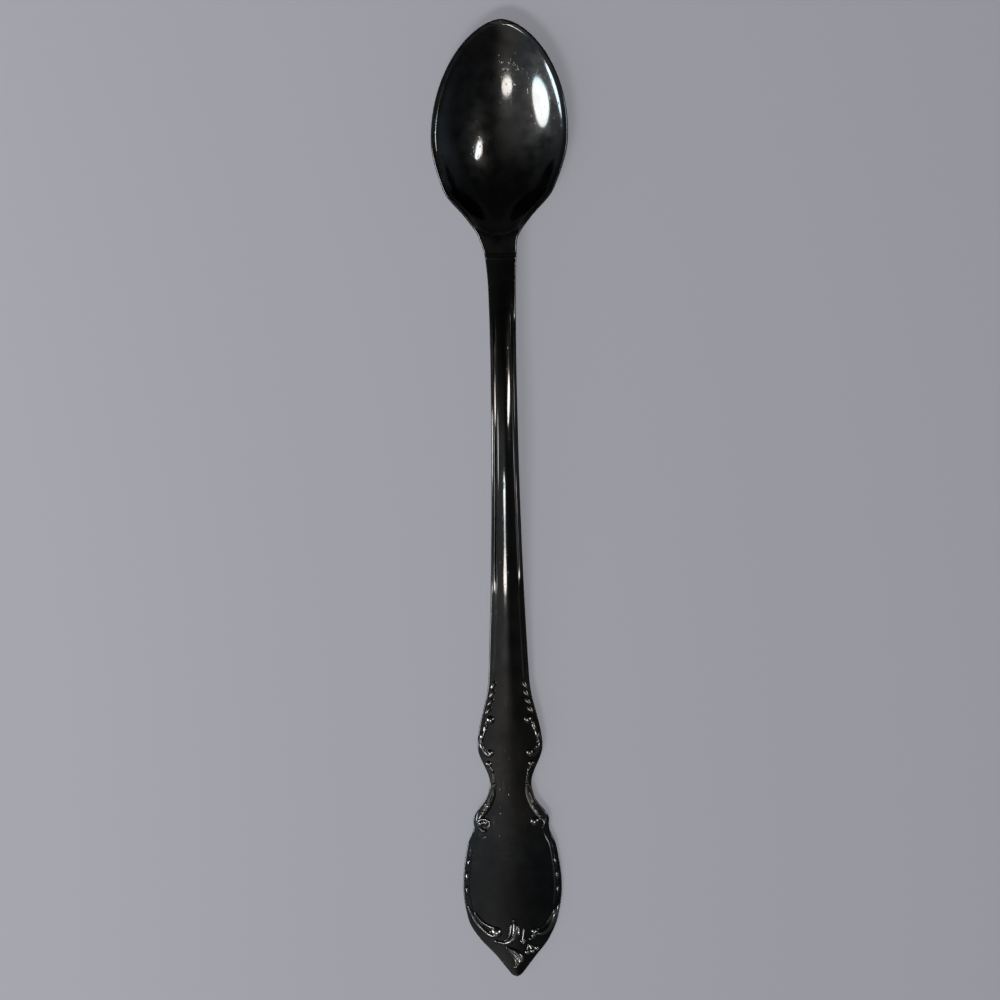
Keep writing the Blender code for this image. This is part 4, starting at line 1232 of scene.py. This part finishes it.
class SPOON_OT_handle(bpy.types.Operator):
    """Make the handle: a threaded stem that opens into a waisted, pointed panel"""

    bl_idname = "spoon.handle"
    bl_label = "Handle"

    def execute(self, context):
        shape = SpoonShape(context.scene)
        at = shape.at
        start = at.neck + shape.profile.joint_film
        stem = np.linspace(start, at.husk - ORNAMENT_LEAD, STEM_COLUMNS)
        ornament = np.linspace(at.husk - ORNAMENT_LEAD, at.point, ORNAMENT_COLUMNS)[1:]
        columns = np.concatenate((stem, ornament))
        right = shape.half_sections(columns, slant=ease(1.0 - (columns - start) / SCARF_RUN))
        left = right[:, -2:0:-1] * MIRRORED
        rings = np.concatenate((right, left, right[:, :1]), axis=1)
        count, rows = rings.shape[:2]
        faces = grid_faces(count, rows)
        faces.append(list(range(rows - 1)))
        mesh = mesh_from(shape.place(*np.moveaxis(rings, -1, 0)), faces, "handle_finish")
        points = points_of(mesh)
        station, x = shape.unplace(points)
        thread, groove, field_line = shape.edge_lines(shape.inset(station, x))
        relief = THREAD_RUBBING * thread * shape.thread_share(station)
        relief -= groove * shape.stain_share(station)
        relief -= FIELD_STAIN * field_line * shape.field_share(station)
        # A lighter band along the neck's joint: partly rubbed filler, partly a painted highlight along that
        # joint
        relief += line_relief(station, at.neck, JOINT_WEAR_AND_HIGHLIGHT_SPREAD * shape.profile.joint_half_width)
        upper = points[:, 2] > shape.edge_bottom(station)
        set_relief(mesh, upper * relief)
        add_piece("handle", mesh, handle_metal())
        return {"FINISHED"}


class SPOON_OT_husks(bpy.types.Operator):
    """Make the husks that take the place of the edge threads at the shoulder"""

    bl_idname = "spoon.husks"
    bl_label = "Husks"

    def execute(self, context):
        shape = SpoonShape(context.scene)
        ornament = context.scene.spoon_ornament
        tree = husk_tree(ornament_metal())
        for label, side, rubbing in SIDES:
            start = shape.at.husk + ornament.husk_length / 2
            end = shape.at.husk + ornament.husk_run - ornament.husk_length / 2
            path = edge_path(shape, side, start, end, ornament.husk_inset)
            sizes = {
                "Husks": ornament.husk_count,
                "Length": ornament.husk_length,
                "Half Width": ornament.husk_half_width,
                "Height": ornament.husk_relief * rubbing,
                "Turn": side * ornament.husk_turn,
            }
            add_ornament(f"{label}_husks", grow("husks", [path], tree, sizes), shape, rubbing)
        return {"FINISHED"}


class SPOON_OT_shoulder_scrolls(bpy.types.Operator):
    """Make the C scrolls round the shoulder, each with a ball at both ends"""

    bl_idname = "spoon.shoulder_scrolls"
    bl_label = "Shoulder scrolls"

    def execute(self, context):
        shape = SpoonShape(context.scene)
        scroll = Carving(shape.at.shoulder)
        self.draw_scroll(scroll)
        for label, side, rubbing in SIDES:
            add_carving(f"{label}_shoulder_scroll", scroll, shape, side, rubbing)
        return {"FINISHED"}

    def draw_scroll(self, scroll):
        """A ball and a bead, three strokes that swell one after another, a second ball, a rib and a cut."""
        scroll.dome(-4.0, 2.94, 0.5, 0.44)
        scroll.dome(-3.55, 3.58, 0.24, 0.46)
        scroll.band(
            (-3.4, 3.62, 0.16, 0.2), (-2.9, 3.72, 0.26, 0.34),
            (-2.4, 3.86, 0.24, 0.3), (-2.0, 4.05, 0.14, 0.14),
        )
        scroll.band(
            (-2.2, 4.0, 0.16, 0.18), (-1.6, 4.26, 0.34, 0.58),
            (-1.0, 4.42, 0.3, 0.38), (-0.4, 4.5, 0.2, 0.2),
        )
        scroll.band(
            (-0.7, 4.4, 0.16, 0.16), (0.0, 4.32, 0.3, 0.36), (0.6, 4.05, 0.34, 0.44),
            (1.2, 3.6, 0.32, 0.42), (1.5, 3.15, 0.22, 0.3),
        )
        scroll.dome(1.1, 3.1, 0.46, 0.46)
        scroll.band((0.3, 4.2, 0.1, 0.2), (0.55, 3.85, 0.15, 0.4), (0.85, 3.48, 0.13, 0.34))
        scroll.cut((0.25, 4.0, 0.08, 0.14), (0.75, 3.72, 0.1, 0.24), (1.25, 3.35, 0.08, 0.16))


class SPOON_OT_waist_scrolls(bpy.types.Operator):
    """Make the long scrolls along the waist, which swell into a leaf and end in a knob"""

    bl_idname = "spoon.waist_scrolls"
    bl_label = "Waist scrolls"

    def execute(self, context):
        shape = SpoonShape(context.scene)
        knobs = (self.draw_volute, self.draw_ball)
        leaf_wear = (1.0, 0.3)
        for (label, side, rubbing), draw_knob, wear in zip(SIDES, knobs, leaf_wear):
            scroll = Carving(shape.at.waist)
            self.draw_tail(scroll)
            self.draw_leaf(scroll, wear)
            draw_knob(scroll)
            add_carving(f"{label}_waist_scroll", scroll, shape, side, rubbing)
        return {"FINISHED"}

    def draw_tail(self, scroll):
        """A small ball over the waist, and the thin tail that runs down from it to a bead."""
        scroll.dome(-2.95, 3.3, 0.4, 0.42)
        scroll.band(
            (-2.5, 3.05, 0.12, 0.12), (-2.05, 2.78, 0.18, 0.34),
            (-1.6, 2.7, 0.14, 0.14), (-1.0, 2.6, 0.12, 0.05),
        )
        scroll.band((-1.0, 2.6, 0.12, 0.05), (-0.4, 2.5, 0.14, 0.05), (0.1, 2.48, 0.14, 0.06))
        scroll.dome(0.3, 2.52, 0.24, 0.5)

    def draw_leaf(self, scroll, wear):
        """The leaf below the waist, with two beads and two veins. Wear is what is left of its height."""
        body = (
            (0.3, 2.55, 0.16, 0.16), (1.0, 2.7, 0.36, 0.26), (2.0, 3.02, 0.5, 0.3),
            (2.9, 3.45, 0.56, 0.32), (3.8, 4.0, 0.58, 0.32), (4.5, 4.4, 0.52, 0.3),
            (5.1, 4.8, 0.38, 0.26), (5.6, 5.1, 0.24, 0.18),
        )
        upper_vein = ((4.2, 3.75, 0.1, 0.28), (4.4, 4.1, 0.13, 0.42), (4.3, 4.5, 0.1, 0.3))
        lower_vein = ((4.75, 4.0, 0.1, 0.24), (4.85, 4.35, 0.12, 0.36), (4.75, 4.7, 0.1, 0.26))
        for points in (body, upper_vein, lower_vein):
            scroll.band(*[(along, aside, half, height * wear) for along, aside, half, height in points])
        scroll.dome(3.2, 3.85, 0.24, 0.52 * wear)
        scroll.dome(3.55, 3.5, 0.22, 0.48 * wear)
        scroll.cut((1.6, 2.72, 0.08, 0.06), (2.3, 2.98, 0.1, 0.12), (3.0, 3.3, 0.08, 0.06))

    def draw_volute(self, scroll):
        """The left knob over the panel: an arch, two beads under it and a curl that closes it."""
        scroll.band(
            (5.95, 5.25, 0.18, 0.28), (5.58, 4.75, 0.22, 0.36), (5.5, 4.25, 0.22, 0.38),
            (5.65, 3.75, 0.22, 0.36), (5.95, 3.42, 0.2, 0.32), (6.4, 3.35, 0.18, 0.26),
            (6.8, 3.6, 0.14, 0.2),
        )
        scroll.dome(6.18, 4.72, 0.34, 0.42)
        scroll.dome(6.05, 3.95, 0.32, 0.42)
        scroll.band(
            (6.5, 5.1, 0.16, 0.2), (7.0, 4.75, 0.24, 0.24),
            (7.3, 4.2, 0.22, 0.24), (7.1, 3.75, 0.14, 0.16),
        )

    def draw_ball(self, scroll):
        """The right knob: one ball in the bend of a low arch."""
        scroll.dome(5.97, 3.7, 0.54, 0.46)
        scroll.band(
            (5.5, 4.5, 0.16, 0.1), (5.8, 5.0, 0.22, 0.14),
            (6.4, 5.15, 0.22, 0.14), (6.9, 4.85, 0.16, 0.1),
        )


class SPOON_OT_panel_borders(bpy.types.Operator):
    """Make the fine borders along the panel's sides"""

    bl_idname = "spoon.panel_borders"
    bl_label = "Panel borders"

    def execute(self, context):
        shape = SpoonShape(context.scene)
        ornament = context.scene.spoon_ornament
        tree = border_tree(ornament_metal())
        start = shape.at.notch + ornament.border_gap
        end = shape.at.panel + ornament.border_end
        sizes = {
            "Half Width": ornament.border_half_width,
            "Beads": (end - start) / ornament.border_pitch,
            "Thinness": ornament.border_thinness,
        }
        for label, side, rubbing in SIDES:
            path = edge_path(shape, side, end, start, ornament.border_inset)
            border = grow("panel_border", [path], tree, sizes)
            add_ornament(f"{label}_panel_border", border, shape, rubbing)
        return {"FINISHED"}


class SPOON_OT_corner_scrolls(bpy.types.Operator):
    """Make the scrolls along the panel's lower edges, one with a ball and the other with a curl"""

    bl_idname = "spoon.corner_scrolls"
    bl_label = "Corner scrolls"

    def execute(self, context):
        shape = SpoonShape(context.scene)
        for (label, side, _), draw in zip(SIDES, (self.draw_left, self.draw_right)):
            scroll = Carving(shape.at.tip_flank)
            draw(scroll)
            add_carving(f"{label}_corner_scroll", scroll, shape, side)
        return {"FINISHED"}

    def draw_left(self, scroll):
        """An outer and an inner stroke that meet in a ball, with a bead between them."""
        scroll.band(
            (-5.0, 6.75, 0.16, 0.18), (-4.2, 6.45, 0.24, 0.3), (-3.3, 6.0, 0.3, 0.4),
            (-2.6, 5.62, 0.32, 0.46), (-1.9, 5.1, 0.32, 0.46), (-1.3, 4.55, 0.32, 0.44),
            (-0.7, 3.85, 0.3, 0.42), (-0.45, 3.25, 0.26, 0.36), (-0.6, 2.85, 0.2, 0.3),
        )
        scroll.band(
            (-4.0, 5.75, 0.14, 0.18), (-3.3, 5.35, 0.22, 0.32), (-2.7, 4.85, 0.24, 0.36),
            (-2.2, 4.2, 0.24, 0.36), (-1.85, 3.6, 0.24, 0.36), (-1.65, 3.05, 0.22, 0.34),
            (-1.45, 2.75, 0.18, 0.28),
        )
        scroll.dome(-1.0, 2.68, 0.64, 0.62)
        scroll.dome(-1.1, 3.55, 0.22, 0.38)

    def draw_right(self, scroll):
        """An outer and an inner stroke that end in a ball and a bead, and a curl towards the spray."""
        scroll.band(
            (-5.3, 6.95, 0.14, 0.18), (-4.6, 6.82, 0.24, 0.5), (-3.9, 6.6, 0.28, 0.6),
            (-3.0, 6.28, 0.28, 0.5), (-2.0, 5.78, 0.28, 0.42), (-1.3, 5.2, 0.28, 0.42),
            (-0.8, 4.4, 0.28, 0.4), (-0.7, 3.75, 0.22, 0.34),
        )
        scroll.band(
            (-4.4, 6.3, 0.14, 0.22), (-3.7, 6.05, 0.22, 0.5), (-2.9, 5.6, 0.22, 0.46),
            (-2.2, 5.05, 0.2, 0.28), (-1.7, 4.4, 0.2, 0.28), (-1.4, 3.8, 0.18, 0.28),
        )
        scroll.dome(-1.0, 3.2, 0.46, 0.62)
        scroll.dome(-0.4, 2.85, 0.26, 0.48)
        scroll.band((-0.6, 3.05, 0.18, 0.28), (-0.1, 2.75, 0.24, 0.36), (0.1, 2.35, 0.22, 0.34))


class SPOON_OT_spray(bpy.types.Operator):
    """Make the spray at the handle's point: a plume, a sprig, a leaf and ribs with beads"""

    bl_idname = "spoon.spray"
    bl_label = "Spray"

    def execute(self, context):
        shape = SpoonShape(context.scene)
        drawings = {"tip_plume": self.draw_plume, "tip_sprig": self.draw_sprig, "tip_leaf": self.draw_leaf}
        for name, draw in drawings.items():
            carving = Carving(shape.at.tip_flank)
            draw(carving)
            add_carving(name, carving, shape)
        self.add_beads(shape, context.scene.spoon_ornament)
        return {"FINISHED"}

    def draw_plume(self, plume):
        """A broad plume that sweeps to the left, with a rib on both sides of it and a bead at both ends."""
        plume.band(
            (-2.2, 0.22, 0.26, 0.4), (-1.6, 0.28, 0.44, 0.58), (-0.9, 0.22, 0.54, 0.62),
            (-0.3, -0.05, 0.54, 0.58), (0.2, -0.55, 0.46, 0.5), (0.55, -1.2, 0.36, 0.42),
            (0.65, -1.9, 0.24, 0.32), (0.5, -2.55, 0.18, 0.28), (0.4, -2.9, 0.18, 0.3),
        )
        plume.band(
            (-2.1, -0.36, 0.12, 0.44), (-1.4, -0.46, 0.16, 0.56), (-0.8, -0.6, 0.16, 0.56),
            (-0.2, -0.95, 0.16, 0.5), (0.3, -1.6, 0.12, 0.4),
        )
        plume.band((-1.9, 0.68, 0.12, 0.4), (-1.3, 0.8, 0.16, 0.5), (-0.7, 0.72, 0.12, 0.44))
        plume.dome(-2.72, 0.02, 0.21, 0.38)
        plume.dome(0.42, -2.9, 0.28, 0.36)
        plume.cut(
            (-1.9, -0.12, 0.07, 0.1), (-1.0, -0.24, 0.08, 0.14),
            (-0.4, -0.52, 0.08, 0.14), (0.1, -1.1, 0.07, 0.1),
        )
        plume.cut((-1.7, 0.54, 0.07, 0.12), (-1.2, 0.58, 0.09, 0.2), (-0.8, 0.54, 0.07, 0.12))

    def draw_sprig(self, sprig):
        """A thin stalk with three berries."""
        sprig.band(
            (-1.6, 1.55, 0.1, 0.2), (-1.1, 1.5, 0.16, 0.34),
            (-0.4, 1.36, 0.16, 0.36), (0.2, 1.22, 0.18, 0.36),
        )
        sprig.dome(0.42, 1.0, 0.25, 0.38)
        sprig.dome(0.38, 1.44, 0.25, 0.38)
        sprig.dome(0.68, 1.22, 0.26, 0.38)

    def draw_leaf(self, leaf):
        """A curved leaf with a rib on both sides of a cut down its middle."""
        leaf.band(
            (1.4, -1.3, 0.2, 0.22), (1.8, -0.8, 0.38, 0.32), (2.3, -0.15, 0.54, 0.38),
            (2.8, 0.3, 0.6, 0.4), (3.4, 0.45, 0.5, 0.38), (4.0, 0.2, 0.34, 0.3),
            (4.4, -0.25, 0.16, 0.18),
        )
        leaf.band((2.3, 0.5, 0.14, 0.36), (2.9, 0.85, 0.16, 0.4), (3.5, 0.8, 0.12, 0.34))
        leaf.band((2.6, -0.7, 0.12, 0.3), (3.2, -0.3, 0.16, 0.38), (3.8, -0.1, 0.12, 0.3))
        leaf.cut(
            (1.9, -0.7, 0.07, 0.1), (2.4, -0.1, 0.1, 0.16),
            (2.9, 0.25, 0.1, 0.16), (3.6, 0.35, 0.07, 0.1),
        )

    def add_beads(self, shape, ornament):
        """Three ribs that fan out from one place right of the point, each with a bead on its end."""
        hinge = np.array((0.95, 2.0))
        ribs = []
        for end in ((1.5, 3.15), (1.95, 2.45), (2.1, 1.65)):
            line = (hinge + np.linspace(0.0, 1.0, RIB_POINTS)[:, None] * (np.array(end) - hinge)) * MM
            station = shape.at.tip_flank + line[:, 0]
            ribs.append(shape.place(station, line[:, 1], shape.face_height(station, line[:, 1])))
        sizes = {"Rib Half Width": ornament.rib_half_width, "Bead Half Width": ornament.bead_half_width}
        tree = bead_tree(ornament_metal())
        add_ornament("tip_beads", grow("tip_beads", ribs, tree, sizes), shape)


class SPOON_OT_stage(bpy.types.Operator):
    """Add the floor, the soft light and the camera straight above the spoon"""

    bl_idname = "spoon.stage"
    bl_label = "Stage"

    def execute(self, context):
        stage = context.scene.spoon_stage
        self.add_floor(stage)
        self.add_lamps(context.scene, stage)
        self.add_sky(context.scene, stage)
        self.add_camera(context.scene, stage)
        context.scene.view_settings.view_transform = "Standard"
        return {"FINISHED"}

    def add_floor(self, stage):
        mesh = bpy.data.meshes.new("floor")
        corners = [(FLOOR_REACH * x, FLOOR_REACH * y, 0.0) for x, y in ((-1, -1), (1, -1), (1, 1), (-1, 1))]
        mesh.from_pydata(corners, [], [(0, 1, 2, 3)])
        material = bpy.data.materials.new("pale_floor")
        material.use_nodes = True
        set_inputs(
            material.node_tree,
            material.node_tree.nodes["Principled BSDF"],
            Base_Color=(*stage.floor, 1.0),
            Roughness=FLOOR_ROUGHNESS,
            Specular_IOR_Level=FLOOR_GLOSS,
        )
        mesh.materials.append(material)
        floor = bpy.data.objects.new("floor", mesh)
        bpy.context.scene.collection.objects.link(floor)

    def add_lamps(self, scene, stage):
        """A window on the left, a box high over the handle and a slanted box on the right.

        A glow is the brightness of a box's face, so its energy also depends on its area.
        """
        for name, (offset, sides, degrees, shadow) in SOFT_BOXES.items():
            lamp = bpy.data.lights.new(f"{name}_box", "AREA")
            lamp.shape = "ELLIPSE"
            lamp.size, lamp.size_y = sides
            area = math.pi / 4 * sides[0] * sides[1]
            lamp.energy = getattr(stage, f"{name}_glow") * math.pi * area
            lamp.color = stage.lamplight
            lamp.use_shadow = shadow
            box = bpy.data.objects.new(f"{name}_box", lamp)
            box.location = BOWL_MIDDLE + Vector(offset)
            facing = (-Vector(offset)).to_track_quat("-Z", "Y")
            roll = Quaternion((0.0, 0.0, 1.0), math.radians(degrees))
            box.rotation_euler = (facing @ roll).to_euler()
            box.visible_camera = False
            scene.collection.objects.link(box)

    def add_sky(self, scene, stage):
        """Soft light, brightest high on the left over the handle. The horizon is dim past the bowl."""
        world = bpy.data.worlds.new("soft_sky")
        world.use_nodes = True
        scene.world = world
        tree = world.node_tree
        direction = tree.nodes.new("ShaderNodeTexCoord").outputs["Generated"]
        rightward, forward, upward = add_node(tree, "ShaderNodeSeparateXYZ", Vector=direction).outputs
        from_left = fade(tree, rightward, -0.3, 0.25, 1.0, 0.1)
        from_handle = fade(tree, forward, -0.22, 0.32, 1.0, 0.02)
        from_above = fade(tree, upward, 0.1, 0.5, 0.15, 1.0)
        share = math_node(tree, "MULTIPLY", from_left, from_handle)
        share = math_node(tree, "MULTIPLY", share, from_above)
        horizon = fade(tree, upward, 0.05, 0.5, 0.8, 0.0)
        horizon = math_node(tree, "MULTIPLY", horizon, fade(tree, forward, 0.1, 0.6, 1.0, 0.13))
        share = math_node(tree, "MAXIMUM", share, horizon)
        colour = mix_colour(tree, share, (*stage.dusk, 1.0), (*stage.sky, 1.0))
        tree.links.new(colour, tree.nodes["Background"].inputs["Color"])

    def add_camera(self, scene, stage):
        lens = bpy.data.cameras.new("camera")
        lens.sensor_width = SENSOR_WIDTH
        lens.lens = SENSOR_WIDTH * (stage.camera_height - stage.framed_height) / stage.framed_width
        lens.clip_start = CLIP_START
        camera = bpy.data.objects.new("camera", lens)
        camera.location = (-stage.camera_aside, -stage.camera_back, stage.camera_height)
        camera.rotation_euler = (0.0, 0.0, stage.camera_roll)
        scene.collection.objects.link(camera)
        scene.camera = camera


class SPOON_PT_sidebar(bpy.types.Panel):
    """Sizes, finish and makers of the spoon"""

    bl_idname = "SPOON_PT_sidebar"
    bl_label = "Infant Spoon"
    bl_space_type = "VIEW_3D"
    bl_region_type = "UI"
    bl_category = "Spoon"

    def draw(self, context):
        for operator in OPERATORS:
            self.layout.operator(operator.bl_idname)
        for name, group in GROUPS.items():
            box = self.layout.box()
            box.label(text=group.__doc__)
            for setting in group.__annotations__:
                box.prop(getattr(context.scene, name), setting)


GROUPS = {
    "spoon_lengths": SpoonLengths,
    "spoon_widths": SpoonWidths,
    "spoon_profile": SpoonProfile,
    "spoon_edge": SpoonEdge,
    "spoon_ornament": SpoonOrnament,
    "spoon_finish": SpoonFinish,
    "spoon_stage": SpoonStage,
}
OPERATORS = (
    SPOON_OT_bowl,
    SPOON_OT_handle,
    SPOON_OT_husks,
    SPOON_OT_shoulder_scrolls,
    SPOON_OT_waist_scrolls,
    SPOON_OT_panel_borders,
    SPOON_OT_corner_scrolls,
    SPOON_OT_spray,
    SPOON_OT_stage,
)


def register():
    for group in (*GROUPS.values(), *OPERATORS, SPOON_PT_sidebar):
        bpy.utils.register_class(group)
    for name, group in GROUPS.items():
        setattr(bpy.types.Scene, name, bpy.props.PointerProperty(type=group))


def unregister():
    for name in GROUPS:
        delattr(bpy.types.Scene, name)
    for group in (SPOON_PT_sidebar, *reversed(OPERATORS), *reversed(GROUPS.values())):
        bpy.utils.unregister_class(group)


def main():
    register()
    bpy.ops.spoon.bowl()
    bpy.ops.spoon.handle()
    bpy.ops.spoon.husks()
    bpy.ops.spoon.shoulder_scrolls()
    bpy.ops.spoon.waist_scrolls()
    bpy.ops.spoon.panel_borders()
    bpy.ops.spoon.corner_scrolls()
    bpy.ops.spoon.spray()
    bpy.ops.spoon.stage()


if __name__ == "__main__":
    main()
